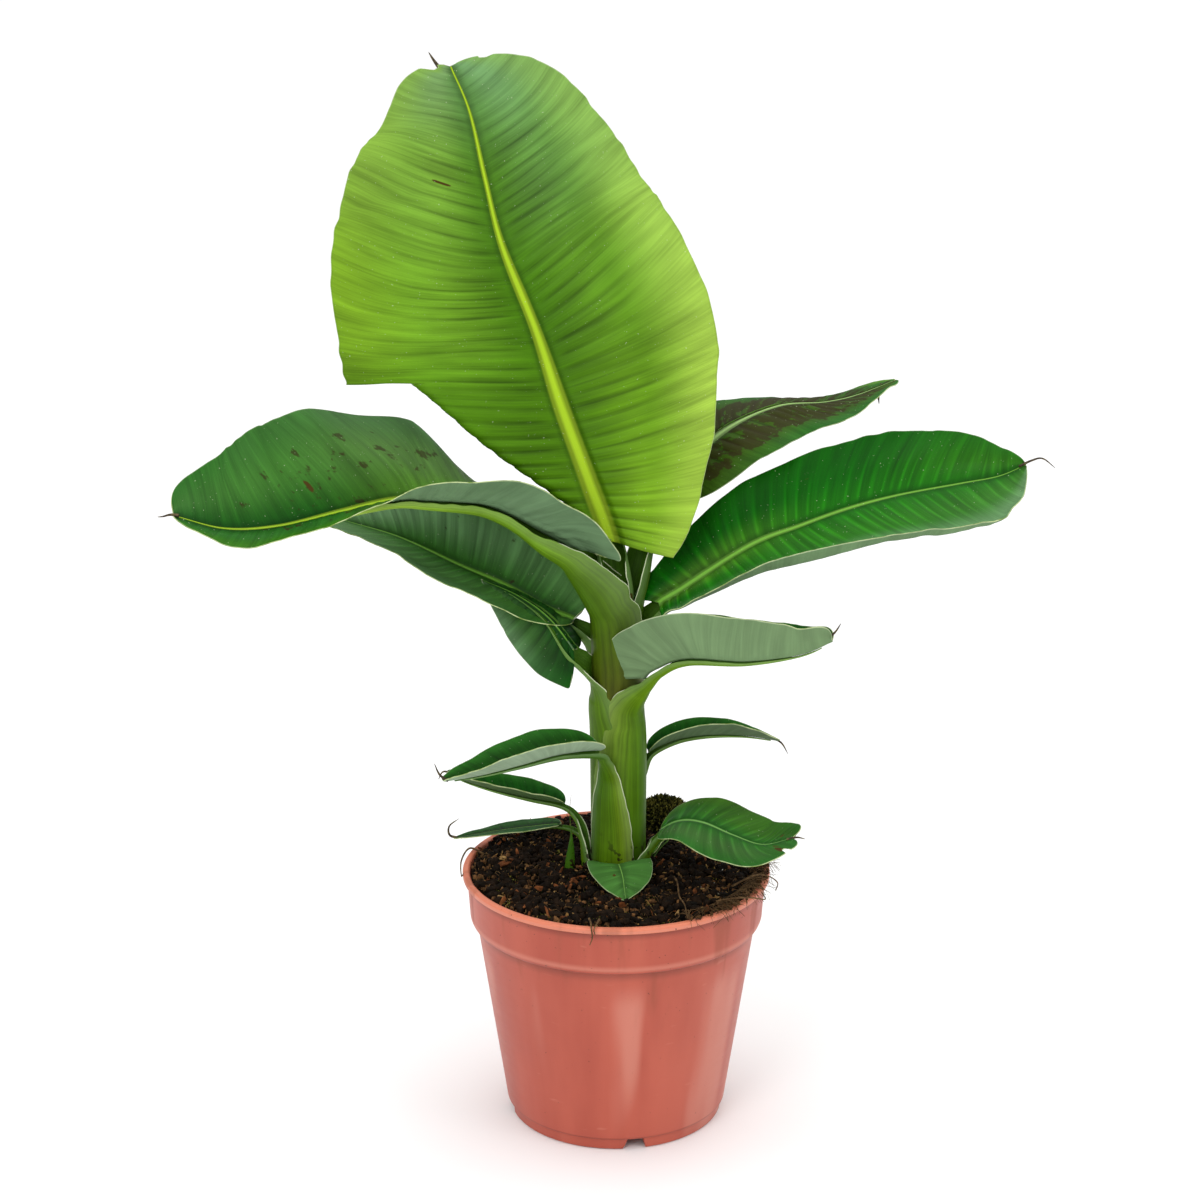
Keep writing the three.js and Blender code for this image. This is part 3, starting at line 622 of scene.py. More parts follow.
def soil():
    """A disc of rings whose height is the soil rule plus four sizes of ripple, the second of them
    folded upwards, turned down at the rim to a wall and a floor inside the pot."""
    share = np.linspace(0.004, 1, SOIL_RINGS)
    angle = turns(SOIL_TURNS)
    r, a = np.meshgrid(share * (SOIL_RADIUS - SOIL_GAP), angle, indexing="ij")
    x, y = r * np.cos(a), r * np.sin(a)
    calm = 1 - 0.75 * ramp(r, 82, 89)
    rough = 0.0
    for seed, (length, size) in enumerate(SOIL_RIPPLES, 1):
        bumps = ripple(x / length, y / length, seed)
        rough = rough + size * (np.abs(bumps) if seed == 2 else bumps)
    z = soil_top(x, y) + rough * calm - SOIL_SINK
    points = [np.stack([x, y, z], -1).reshape(-1, 3)]
    points += [polar(radius, angle, height) for radius, height in SOIL_WALL]
    points.append([[0, 0, float(z[0].mean())], [0, 0, SOIL_FLOOR]])
    points = np.concatenate(points)
    middle = np.full(SOIL_TURNS, len(points) - 2)
    this = np.arange(SOIL_TURNS)
    following = (this + 1) % SOIL_TURNS
    rings = SOIL_RINGS + len(SOIL_WALL)
    last = (rings - 1) * SOIL_TURNS
    faces = [grid_faces(rings, SOIL_TURNS, True)[:, ::-1], np.stack([middle, this, following], -1),
             np.stack([last + following, last + this, middle + 1], -1)]
    piece("soil_bed", points, faces, [PEAT], "soil", ["soil"])


ICO = (1 + 5 ** 0.5) / 2
CLOD_POINTS = unit(np.array([(-1, ICO, 0), (1, ICO, 0), (-1, -ICO, 0), (1, -ICO, 0),
                             (0, -1, ICO), (0, 1, ICO), (0, -1, -ICO), (0, 1, -ICO),
                             (ICO, 0, -1), (ICO, 0, 1), (-ICO, 0, -1), (-ICO, 0, 1)], float))
CLOD_FACES = np.array([(0, 11, 5), (0, 5, 1), (0, 1, 7), (0, 7, 10), (0, 10, 11), (1, 5, 9),
                       (5, 11, 4), (11, 10, 2), (10, 7, 6), (7, 1, 8), (3, 9, 4), (3, 4, 2),
                       (3, 2, 6), (3, 6, 8), (3, 8, 9), (4, 9, 5), (2, 4, 11), (6, 2, 10),
                       (8, 6, 7), (9, 8, 1)])


def turned(rng, count):
    """Random turning matrices: the first two columns of random numbers made square to each
    other, and the third from their cross product."""
    a = unit(rng.normal(size=(count, 3)))
    b = rng.normal(size=(count, 3))
    b = unit(b - dot(a, b) * a)
    return np.stack([a, b, np.cross(a, b)], -1)


def clods(rng, places, sizes, stretch):
    """Uneven twenty-sided clods at places: each is stretched, dented point by point and turned."""
    count = len(places)
    dents = rng.uniform(0.68, 1.15, (count, 12, 1))
    shapes = CLOD_POINTS * dents * (sizes[:, None] * stretch)[:, None, :]
    shapes = np.einsum("nij,nkj->nki", turned(rng, count), shapes)
    points = (shapes + places[:, None, :]).reshape(-1, 3)
    faces = (CLOD_FACES[None] + 12 * np.arange(count)[:, None, None]).reshape(-1, 3)
    return points, faces


def scattered(rng, count, radius=89.0, inner=0.0):
    """Random places on the soil, even over its area."""
    r = np.sqrt(rng.uniform((inner / radius) ** 2, 1, count)) * radius
    a = rng.uniform(0, 2 * np.pi, count)
    x, y = r * np.cos(a), r * np.sin(a)
    return np.stack([x, y, soil_top(x, y)], -1)


STEM_CLEAR = 15.5
GRIT_COUNT, GRIT_X, GRIT_Y, GRIT_SPREAD = 900, 58, -18, 900
SPILL_COUNT, SPILL_FROM, SPILL_TO, RIM_TOP = 150, -62, 8, 160.2


def crumbs():
    """Crumbs, chips and grit on the soil, each kind its own joined piece: lay() takes how many,
    the least and greatest size, and the stretch of each; grit lies thickest near one place."""
    rng = np.random.default_rng(11)

    def lay(name, count, low, high, stretch, finish, lift=0.3, where=None):
        places = scattered(rng, count, inner=STEM_CLEAR) if where is None else where
        count = len(places)
        sizes = low + (high - low) * rng.uniform(0, 1, count) ** 2.2
        places = places + np.array([0, 0, 1]) * (lift * sizes + 0.6)[:, None]
        points, faces = clods(rng, places, sizes, np.array(stretch))
        piece(name, points, [faces], [finish], "soil", smooth_shaded=False)

    lay("peat_crumbs", 3600, 0.6, 4.2, (1, 0.85, 0.7), PEAT)
    lay("brown_crumbs", 2600, 0.4, 2.6, (1, 0.8, 0.6), PEAT_BROWN)
    lay("bark_chips", 220, 0.8, 4.2, (1.5, 0.6, 0.28), BARK, 0.4)
    lay("straw_chips", 900, 0.35, 2.2, (1.6, 0.5, 0.25), OCHRE, 0.5)
    near = scattered(rng, GRIT_COUNT, inner=STEM_CLEAR)
    apart = (near[:, 0] - GRIT_X) ** 2 + (near[:, 1] - GRIT_Y) ** 2
    chance = 0.03 + 0.9 * np.exp(-apart / GRIT_SPREAD)
    lay("perlite_grit", 0, 0.4, 1.3, (1, 0.9, 0.8), PERLITE, 0.6,
        near[rng.uniform(0, 1, GRIT_COUNT) < chance * 0.55])
    turn = np.radians(rng.uniform(SPILL_FROM, SPILL_TO, SPILL_COUNT))
    reach = rng.uniform(86, 95.5, SPILL_COUNT)
    lay("rim_crumbs", 0, 0.4, 2.2, (1, 0.8, 0.6), PEAT_BROWN, 0.4, polar(reach, turn, RIM_TOP))


def tubes(paths, radii, sides=4):
    """Thin round threads: each path is a row of points, each radius runs down it; rings square to
    the thread are joined side by side and closed at both ends."""
    points, faces, start = [], [], 0
    for path, radius in zip(paths, radii):
        path = np.asarray(path, float)
        heading = unit(np.gradient(path, axis=0))
        across = unit(np.cross(heading, [0.31, 0.22, 0.92]))
        up = np.cross(heading, across)
        turn = turns(sides)
        circle = across[:, None] * np.cos(turn)[:, None] + up[:, None] * np.sin(turn)[:, None]
        body = path[:, None] + circle * np.asarray(radius, float)[:, None, None]
        points += [body.reshape(-1, 3), path[[0, -1]]]
        this = np.arange(sides)
        following = (this + 1) % sides
        last = start + (len(path) - 1) * sides
        hub = last + sides
        faces += [(grid_faces(len(path), sides, True) + start)[:, ::-1],
                  np.stack([np.full(sides, hub), this + start, following + start], -1),
                  np.stack([np.full(sides, hub + 1), following + last, this + last], -1)]
        start = hub + 2
    return np.concatenate(points), faces


ROOTS = (  # bits of root lying loose or hanging over the rim
    [[-16, -84, 162], [-15, -91, 162.5], [-14.5, -95.6, 160], [-14, -95.8, 155],
     [-15.5, -95.2, 150]],
    [[-10, -85, 162], [-11, -92, 163], [-13, -95.6, 160.5], [-12.5, -95.8, 157]],
    [[35, -30, 166], [37, -42, 167.5], [38, -56, 164.5], [41, -68, 164], [42, -80, 162]],
    [[-82, 14, 162], [-91, 10, 168], [-96, 2, 163], [-95.6, -8, 157], [-94, -14, 161]],
    [[70, -40, 164], [84, -30, 167], [93, -24, 164], [99, -20, 158], [98, -18, 152]],
    [[60, -60, 163], [72, -62, 166], [82, -56, 163.5], [90, -50, 160], [88, -44, 162]],
)


HAIR_COUNT, HAIR_STEPS = 620, 6
HANG_COUNT, HANG_FROM, HANG_TO = 150, -64, 10
ROOT_STEPS, ROOT_THICK, ROOT_THIN = 24, 0.75, 0.3


def fibres():
    """Root hairs lying on the soil, each a short random walk that humps up in the middle, more
    that hang over the rim within a range of angles, and the loose bits of root."""
    rng = np.random.default_rng(5)
    steps = HAIR_STEPS
    paths, radii = [], []
    for place in scattered(rng, HAIR_COUNT, radius=88, inner=16):
        length = rng.uniform(3, 13)
        heading = rng.uniform(0, 2 * np.pi) + np.cumsum(rng.normal(0, 0.35, steps))
        x = place[0] + np.cumsum(np.cos(heading)) * length / steps
        y = place[1] + np.cumsum(np.sin(heading)) * length / steps
        inside = np.minimum(1, 88.5 / np.maximum(np.hypot(x, y), 1))
        x, y = x * inside, y * inside
        hump = rng.uniform(0.2, 2.4) * np.sin(np.linspace(0.1, 3.0, steps))
        z = soil_top(x, y) + 0.9 + hump
        paths.append(np.stack([x, y, z], -1))
        radii.append(np.linspace(1, 0.45, steps) * rng.uniform(0.12, 0.3))
    share = np.linspace(0, 1, steps)
    for turn in np.radians(rng.uniform(HANG_FROM, HANG_TO, HANG_COUNT)):
        reach = 83 + rng.uniform(8, 19) * share
        bend = turn + rng.normal(0, 0.09) * share + rng.normal(0, 0.02, steps)
        fall = rng.uniform(-2, 9)
        z = 159.8 + rng.uniform(1.5, 4.5) * np.sin(share * 2.4) + 1.2 - fall * share ** 3
        paths.append(polar(reach, bend, z))
        radii.append(np.linspace(1, 0.5, steps) * rng.uniform(0.14, 0.34))
    piece("root_fibres", *tubes(paths, radii, 3), [FIBRE], "soil")
    thickness = np.linspace(ROOT_THICK, ROOT_THIN, ROOT_STEPS)
    roots = [Line(path).spread(ROOT_STEPS) for path in ROOTS]
    piece("loose_roots", *tubes(roots, [thickness] * len(roots), 6), [FIBRE], "soil")


TUFT_FACES = np.array([(0, 1, 2), (0, 2, 3), (0, 4, 1), (1, 4, 2), (2, 4, 3), (3, 4, 0)])


def tufts(name, centres, reach, sizes, finish, seed):
    """Moss: each leaflet is a bent three-sided blade of a size of its own that stands on its
    centre, near the way that reach says."""
    rng = np.random.default_rng(seed)
    count = len(centres)
    out = unit(reach + rng.normal(0, 0.75, (count, 3)))
    side = unit(np.cross(out, rng.normal(size=(count, 3))))
    thick = np.cross(out, side)
    length = sizes[:, None]
    middle = centres + out * length * 0.55 + thick * length * 0.12
    ring = [centres, middle + side * length * 0.2, centres + out * length,
            middle - side * length * 0.2, middle - thick * length * 0.2]
    points = np.stack(ring, 1).reshape(-1, 3)
    faces = (TUFT_FACES[None] + 5 * np.arange(count)[:, None, None]).reshape(-1, 3)
    piece(name, points, [faces], [finish], "moss", smooth_shaded=False)


THREADS = {  # from each leaf's tip, in the shared frame: a withered thread and its first radius
    "leaf_01": ([[-5, 0, -3], [-9.5, 0, 3], [-13, 0, 8.5]], 1.3),
    "leaf_02": ([[-7, 0, -2], [-9, 0, -9], [-8.6, 0, -15]], 1.2),
    "leaf_03": ([[3, 0, 0], [-2, 0, 0.4], [-6, 0, -0.6], [-9.5, 0, -1]], 0.9),
    "leaf_04": ([[-4, 0, -1], [3, 0, 2.5], [10, 0, 4], [18, 0, -2]], 0.7),
    "leaf_07": ([[-2, 0, 2], [2, 0, 6], [5, 0, 11]], 0.8),
    "leaf_08": ([[-4, 0, 2], [2, 0, -2], [6, 0, -9]], 0.7),
    "leaf_09": ([[2, 0, 0], [-3, 0, 4], [-6, 0, 11]], 0.8),
    "sucker_left_leaf_01": ([[3, 0, -1], [-3, 0, 0], [-6, 0, -5]], 0.7),
    "sucker_left_leaf_02": ([[2, 0, 0], [-3, 0, 2], [-3, 0, 8], [3, 0, 13]], 0.8),
    "sucker_right_leaf_01": ([[-3, 0, -1], [3, 0, 0.5], [8, 0, -0.5]], 0.8),
}
THREAD_STEPS, THREAD_END = 20, 0.12
SHOOT = [[-29, -14, 162], [-28, -14, 174], [-27.5, -15, 187], [-28.5, -14, 202],
         [-27.5, -14, 213]]
SHOOT_TINT = (70, 110, 20), (52, 96, 8), (60, 84, 20), (70, 52, 26)
SHOOT_STEPS, SHOOT_SIDES, SHOOT_RADIUS, SHOOT_LENGTH, SHOOT_EDGE = 60, 16, 2.6, 46, 6.0


def threads():
    """Withered threads at the leaf tips, and the young shoot: thin tubes that run to a point."""
    paths, radii = [], []
    thin = (1 - np.linspace(0, 1, THREAD_STEPS)) ** 0.7
    for name, (offsets, radius) in THREADS.items():
        tip = LEAVES[name]["path"][-1]
        paths.append(Line(np.array(offsets, float) + tip).spread(THREAD_STEPS))
        radii.append(radius * thin + THREAD_END)
    piece("drip_tips", *tubes(paths, radii, 8), [DRY], "blade")
    share = np.linspace(0, 1, SHOOT_STEPS)
    radius = SHOOT_RADIUS * ramp(share, 0.62, 0.1) + 0.35 * (1 - share) + 0.1
    points, faces = tubes([Line(SHOOT).spread(SHOOT_STEPS)], [radius], SHOOT_SIDES)
    tall = np.append(np.repeat(share, SHOOT_SIDES), [0, 1])
    edge = np.full(len(points), SHOOT_EDGE)
    place = np.stack([tall * SHOOT_LENGTH, edge, edge], -1)
    tint = keyed([tone(*colour) for colour in SHOOT_TINT], tall)
    piece("shoot", points, faces, [SKIN], "stalk",
          values={"place": place, "marks": 0 * place, "tint": tint})


MOSS_PLACE, MOSS_SIZE = np.array([30.0, 58.0, 171.0]), np.array([16.0, 13.0, 11.0])
MOSS_ROWS, MOSS_COLUMNS = 40, 64
LUMP_LEAFLETS = (("moss_leaflets_dark", 1500, MOSS_DARK), ("moss_leaflets_light", 1300, MOSS_LIGHT))
SOIL_TUFTS = (("soil_moss_dark", 1500, MOSS_DARK), ("soil_moss_light", 900, MOSS_LIGHT))
TUFT_SPOTS, TUFT_SPREAD, TUFT_CLEAR, TUFT_RIM = 46, 3.0, 20, 88


def moss():
    """The moss lump, an uneven ball covered in leaflets, and tufts on the soil, which gather
    round a few random spots."""
    rows, columns = MOSS_ROWS, MOSS_COLUMNS
    tilt, turn = np.meshgrid(np.linspace(0.001, np.pi - 0.001, rows),
                             turns(columns), indexing="ij")
    way = polar(np.sin(tilt), turn, np.cos(tilt))
    swell = 0.86 + 0.12 * ripple(way[..., 0] * 3 + 9, way[..., 1] * 3 + way[..., 2] * 4, 6)
    points = MOSS_PLACE + way * MOSS_SIZE * swell[..., None]
    piece("moss_lump", points.reshape(-1, 3), [grid_faces(rows, columns, True)[:, ::-1]],
          [MOSS_DARK], "moss", ["moss"], merge=0.01)
    rng = np.random.default_rng(21)
    for name, count, finish in LUMP_LEAFLETS:
        way = unit(rng.normal(size=(count, 3)) + np.array([0, -0.2, 0.45]))
        tufts(name, MOSS_PLACE + way * MOSS_SIZE * 0.88, way, rng.uniform(2.2, 5.2, count),
              finish, 31 + count)
    for name, count, finish in SOIL_TUFTS:
        spots = scattered(rng, TUFT_SPOTS, inner=TUFT_CLEAR)
        pick = spots[rng.integers(0, len(spots), count)]
        pick = pick + rng.normal(0, TUFT_SPREAD, (count, 3)) * [1, 1, 0]
        pick[:, :2] *= np.minimum(1, TUFT_RIM / np.hypot(pick[:, 0], pick[:, 1]))[:, None]
        pick[:, 2] = soil_top(pick[:, 0], pick[:, 1]) + rng.uniform(0.2, 1.4, count)
        tufts(name, pick, np.tile([0, 0, 0.8], (count, 1)), rng.uniform(0.9, 2.4, count), finish,
              41 + count)


# ---------------------------------------------------------------- leaves

LEAF, GRASS = (104, 154, 50), (80, 130, 30)
DEEP, FOREST, NIGHT, OLIVE = (20, 88, 12), (46, 112, 34), (14, 60, 10), (62, 96, 16)
GREY, SAGE, MIST = (96, 130, 88), (116, 148, 104), (140, 168, 130)
RIB_PALE, RIB_DEEP = (160, 196, 120), (112, 170, 60)
STEM_GREEN, STEM_YELLOW, STEM_BROWN = (70, 112, 10), (104, 140, 18), (92, 70, 24)

# A leaf is a smooth line through path, and its blade starts at the path's point number blade.
# Rows of two are the blade's left and right halves; a row's own numbers run from base to tip.
#   stalk      radius of the stalk where its sheath ends and where the blade starts
#   face       the way that the upper side looks
#   width      length of the longest vein; outline: see outline()
#   veins      angle between the midrib and a vein
#   fold, curl, lip   how steeply a half rises from the midrib, more of it with the square of the
#              distance, and a sudden turn near the edge
#   tear       which half is torn, up to which share of the blade, from which share across, and
#              how far it turns over
#   nicks      half, place along, reach and depth, as shares, of bites out of the edge
#   scars      share along, share across, length and width of brown spots
#   tint, skin rows of colours from base to tip, of the upper side from left to right, and of the
#              stalk's outside; under and rib are the colours of the under side and the midrib
#    stain, light   how blotched the blade is; the grooves get painted shade below a half,
#               and paler lines above
#   pleats, ruffle   spacing and depth of pleats, height and spacing of the edge's waves
#   grid       rows and columns of points
SMALL = dict(
    face=[[0, 0, 1]] * 3, outline=[[0.75, 0.6, 0.6]] * 2, veins=[[100, 80, 65, 50, 35]] * 2,
    curl=[[0, 0, 0]] * 2, lip=[[0, 0, 0]] * 2, tear=None, nicks=(), scars=(), stain=[0, 0],
    light=0, tint=[[FOREST, DEEP, DEEP, DEEP, FOREST]] * 2, under=GREY, rib=RIB_DEEP,
    skin=[[STEM_GREEN, STEM_YELLOW, STEM_GREEN]] * 3 + [[(110, 156, 50)] * 3],
    rib_width=[0.9, 0.6, 0.3], pleats=(5.0, 0.2), ruffle=(0.4, 9), grid=(90, 40))

LEAVES = {
    "leaf_01": dict(
        path=[[0, 4, 338], [-4, 8, 368], [-17, 15, 404], [-33, 28, 445], [-49, 40, 491],
              [-69, 50, 540], [-79, 58, 579], [-88, 66, 617], [-99, 70, 643]],
        blade=1, stalk=[9.4, 7.6], face=[[0.1, -1, 0.2], [0.1, -1, 0.2], [0.1, -1, 0.1]],
        outline=[[0.50, 0.85, 0.55], [0.74, 1.5, 0.54, 0.36]], width=[130, 107],
        veins=[[74, 77, 75, 67, 60], [119, 98, 78, 72, 85]],
        nicks=[(0, 0.985, 0.012, 0.35), (1, 0.975, 0.01, 0.12)],
        scars=[(0.60, -0.40, 2.8, 0.6), (0.735, -0.36, 0.4, 6.0)],
        fold=[[10, 12, 12], [12, 12, 12]], curl=[[-20, -20, -20], [-30, -30, -20]],
        tear=dict(half=0, below=0.335, start=0.58, turn=-150),
        # partly the blade's own greens, partly painted light: extra brightness for light shining
        # through the blade, painted shade right of the midrib and a grey-green painted sheen on the
        # right half
        tint=[[(76, 126, 6), (84, 140, 10), (100, 154, 12), (140, 190, 40), (172, 212, 72)],
              [(90, 140, 10), (88, 142, 16), (80, 132, 8), (108, 160, 26), (176, 214, 80)],
              [(132, 178, 38), (122, 176, 40), (72, 126, 8), (102, 156, 36), (164, 206, 84)],
              [(142, 186, 68), (132, 182, 62), (78, 132, 24), (108, 160, 70), (146, 192, 90)],
              [(138, 182, 82), (130, 172, 104), (98, 148, 76), (122, 170, 108), (134, 180, 96)]],
        under=(128, 164, 84), rib=(166, 202, 40), rib_width=[11.5, 9.5, 6, 3, 1.1],
        pleats=(7.4, 0.62), ruffle=(0.8, 34), grid=(300, 130)),
    "leaf_02": dict(
        path=[[6, 7, 330], [17, 20, 366], [30, 34, 392], [50, 46, 414], [72, 56, 429],
              [100, 70, 437], [128, 82, 436], [149, 92, 438], [172, 100, 445]],
        blade=2, stalk=[7, 4.6], face=[[0, -0.6, 0.8], [0, -0.6, 0.8], [0, -0.2, 1]],
        width=[34, 39], veins=[[115, 70, 50, 40, 30]] * 2,
        fold=[[20, -30, 10], [8, 8, 8]], curl=[[0, -60, 0], [-20, -20, 30]],
        tint=[[OLIVE, OLIVE, GRASS, OLIVE, OLIVE], [FOREST, OLIVE, OLIVE, OLIVE, FOREST],
              [LEAF, FOREST, OLIVE, OLIVE, FOREST]],
        under=MIST, rib=RIB_PALE, rib_width=[6, 5, 3, 1.6, 0.6], stain=[0.72, 0.8, 0.55],
        pleats=(7.0, 0.4), ruffle=(1.0, 18), grid=(170, 80)),
    "leaf_03": dict(
        path=[[-2, -3, 335], [-14, -3, 352], [-28, -2, 368], [-46, -3, 379], [-64, -5, 389],
              [-81, -8, 396], [-110, -14, 400], [-131, -20, 402], [-162, -32, 398],
              [-197, -45, 393], [-227, -54, 394], [-255, -62, 404]],
        blade=2, stalk=[9, 7.4], face=[[0, 0, 1], [0, 0, 1], [0, -0.1, 1]],
        outline=[[0.45, 0.5, 0.6, 0.6], [0.65, 0.5, 0.38]], width=[39, 76],
        veins=[[150, 112, 82, 68, 65], [110, 85, 72, 74, 85]],
        fold=[[75, 46, 30, 13, 4, -16, -25], [-15, -2, 28, 54, 55, 43, 25]],
        curl=[[0, 6, 6, 0, 0, 0, 0], [0, 0, 0]], scars=[(0.62, 0.30, 1.2, 5.0)],
        skin=[[(96, 66, 24), (80, 62, 20), (66, 84, 14)], [(84, 118, 8), (66, 104, 6), (62, 90, 8)],
              [(120, 164, 26), (96, 142, 14), (64, 106, 6)], [(176, 212, 76)] * 3],
        tint=[[OLIVE, OLIVE, OLIVE, (84, 118, 30), (64, 116, 40)],
              [(74, 120, 20), OLIVE, GRASS, (84, 126, 56), (76, 130, 62)],
              [(60, 126, 12), FOREST, DEEP, (66, 124, 44), (60, 118, 46)],
              [(64, 128, 28), FOREST, DEEP, (60, 118, 44), FOREST]],
        under=(114, 148, 106), rib=(150, 186, 40), rib_width=[8, 6, 4, 2, 0.8],
        stain=[0.3, 0.42, 0.42, 0.1], light=0.7, pleats=(8.0, 0.5), ruffle=(1.4, 20),
        grid=(230, 104)),
    "leaf_04": dict(
        path=[[12, -2, 316], [25, 0, 332], [38, 2, 340], [80, 8, 366], [110, 12, 377],
              [140, 16, 387], [170, 20, 394], [207, 24, 400], [230, 26, 404], [246, 26, 411]],
        blade=1, stalk=[6, 4.4], face=[[-0.3, -0.5, 0.8], [-0.2, -0.5, 0.8], [0, -0.5, 0.9]],
        outline=[[1.15, 0.85, 0.7, 0.32], [1.55, 0.9, 0.85, 0.3]], width=[52, 58],
        veins=[[128, 85, 68, 64, 75], [115, 85, 68, 66, 75]],
        fold=[[14, 14, 14], [4, 4, 4]], curl=[[0, 0, 0], [30, 20, 5]],
        tint=[[(14, 92, 4), (8, 84, 2), GRASS, (20, 100, 6), (96, 142, 88)],
              [(10, 92, 2), (6, 90, 0), (24, 108, 6), (40, 116, 16), (124, 166, 120)],
              [(40, 118, 20), (50, 122, 20), (30, 110, 10), (62, 126, 40), (112, 156, 104)]],
        scars=[(0.42, -0.62, 0.7, 1.4)],
        skin=[[(76, 112, 8)] * 3, [(120, 156, 20), (110, 148, 14), (70, 112, 6)],
              [(130, 166, 30), (110, 150, 20), (84, 126, 12)], [(130, 184, 70)] * 3],
        under=SAGE, rib_width=[5.5, 4, 2.8, 1.6, 0.6],
        pleats=(8.0, 0.45), ruffle=(1.5, 17), lip=[[0, 0, 0, 0], [50, 90, 85, 20]], light=1.5,
        grid=(230, 100)),
    "leaf_05": dict(
        path=[[-8, 6, 306], [-26, 10, 318], [-43, 14, 324], [-69, 24, 336], [-96, 34, 345],
              [-133, 46, 359], [-166, 57, 366], [-180, 62, 370]],
        blade=1, stalk=[6, 4.4], face=[[0, -0.2, 1], [0, -0.2, 1], [0, 0, 1]],
        outline=[[0.9, 0.6, 0.5], [0.75, 0.6, 0.6]], width=[44, 58],
        veins=[[110, 85, 70, 55, 35], [115, 88, 70, 55, 35]],
        fold=[[10, 10, 8], [40, 36, 20]], curl=[[20, 20, 20], [0, 0, 0]],
        # the pale grey-greens are painted light, a sheen that makes up for the shade of leaf_03
        # above; the darker greens are the blade's own
        tint=[[(52, 112, 30), (64, 116, 40), (40, 92, 24), (88, 138, 72), (62, 116, 36)],
              [(110, 158, 100), (86, 138, 68), (52, 110, 30), (116, 162, 106), (92, 142, 70)],
              [(124, 166, 116), (102, 150, 86), (60, 118, 34), (128, 170, 120), (96, 146, 76)]],
        under=(126, 146, 124), rib_width=[4.6, 3.4, 2.4, 1.4, 0.6],
        stain=[0.2, 0.2, 0.1], light=1.1, pleats=(7.5, 0.45), ruffle=(1.4, 17), grid=(200, 90)),
    "leaf_06": dict(
        path=[[-6, -12, 262], [-15, -18, 288], [-26, -14, 307], [-41, -4, 324], [-60, 8, 334],
              [-82, 20, 340]],
        blade=2, stalk=[6, 5], face=[[0, -0.3, 1], [0, -0.3, 1], [0, -0.2, 1]],
        outline=[[0.5, 0.6, 0.9, 0.7], [0.75, 0.6, 0.6]], width=[30, 30],
        veins=[[155, 115, 85, 66, 60], [110, 85, 70, 60, 60]],
        fold=[[-48, -42, -22], [-30, -30, -20]], curl=[[-10, -10, 0]] * 2,
        tint=[[DEEP, NIGHT, DEEP, NIGHT, NIGHT],
              [(100, 140, 92), (64, 110, 48), (26, 78, 20), FOREST, DEEP],
              [(124, 160, 118), (92, 136, 78), (36, 92, 26), (64, 116, 54), DEEP]],
        skin=[[(84, 116, 16)] * 3, [(96, 134, 24), (86, 124, 20), (70, 110, 12)],
              [(104, 146, 50), (90, 132, 40), (70, 114, 22)], [RIB_DEEP] * 3],
        rib_width=[2.4, 1.8, 1.0, 0.5],
        pleats=(6.0, 0.4), ruffle=(0.8, 13), grid=(120, 70)),
    "leaf_07": dict(
        path=[[10, -10, 240], [12, -17, 272], [17, -24, 292], [25, -30.5, 301], [42, -39.5, 310],
              [76, -47, 311], [108, -52, 317], [126, -55, 326]],
        blade=2, stalk=[8.5, 4.6], outline=[[0.7, 0.4, 0.4], [0.5, 0.7, 0.3, 1.7]], width=[29, 31],
        veins=[[120, 95, 75, 70, 70], [130, 112, 88, 78, 75]],
        fold=[[45, 50, 40], [70, 78, 62]], curl=[[0, 0, 0], [20, 10, 0]],
        tint=[[DEEP, DEEP, GRASS, DEEP, FOREST]] * 2,
        under=(122, 152, 106), rib_width=[2.4, 1.8, 1.0, 0.5],
        skin=[[(96, 130, 12), (74, 114, 8), (66, 106, 8)],
              [(72, 116, 6), (80, 122, 8), (130, 158, 50)],
              [(124, 160, 24), (110, 150, 18), (96, 136, 20)], [(120, 160, 60)] * 3],
        pleats=(6.0, 0.3), ruffle=(1.0, 13), grid=(170, 90)),
    "leaf_08": dict(
        path=[[10, 2, 200], [13.5, 5, 222], [20, 8, 233], [37, 14, 239], [57, 20, 240],
              [80, 27, 237], [101, 34, 231]],
        blade=2, stalk=[4, 2.6], width=[14, 15], fold=[[35, 40, 30], [45, 50, 30]],
        under=(98, 124, 86), rib_width=[1.2, 0.9, 0.4], pleats=(5.0, 0.22), grid=(100, 44)),
    "leaf_09": dict(
        path=[[3, -12, 205], [2, -17, 226], [-3, -22, 241], [-10, -26, 247], [-34, -36, 248],
              [-58, -44, 244], [-81, -50, 240], [-102, -55, 238]],
        blade=3, stalk=[7, 3.4], outline=[[0.75, 0.55, 0.55]] * 2, width=[15, 21],
        veins=[[140, 88, 65, 50, 35], [100, 80, 65, 50, 35]], fold=[[50, 50, 45], [40, 40, 35]],
        tint=[[FOREST, DEEP, DEEP, (26, 80, 12), FOREST]] * 2, under=(164, 188, 156),
        skin=[[(124, 152, 24), (88, 124, 10), (64, 102, 8)],
              [(116, 146, 24), (76, 116, 8), (58, 98, 6)],
              [(70, 112, 30), (84, 124, 36), (70, 112, 24)], [(110, 150, 80)] * 3],
        rib_width=[1.2, 0.9, 0.4], pleats=(5.0, 0.22), ruffle=(0.5, 9), grid=(110, 50)),
    "sucker_left_leaf_01": dict(
        path=[[-17, -8, 164], [-18, -6, 180], [-22, -3, 194], [-32, 0, 202], [-53, 5, 204],
              [-75, 8, 208], [-93, 10, 213], [-104, 12, 218]],
        blade=3, stalk=[4.4, 2.4], width=[11, 15], fold=[[40, 40, 40], [35, 35, 35]],
        under=(84, 112, 66), rib_width=[1.0, 0.7, 0.3]),
    "sucker_left_leaf_02": dict(
        path=[[-15, 12, 166], [-23, 14, 178], [-35, 18, 181], [-54, 24, 177], [-79, 30, 171],
              [-102, 34, 165]],
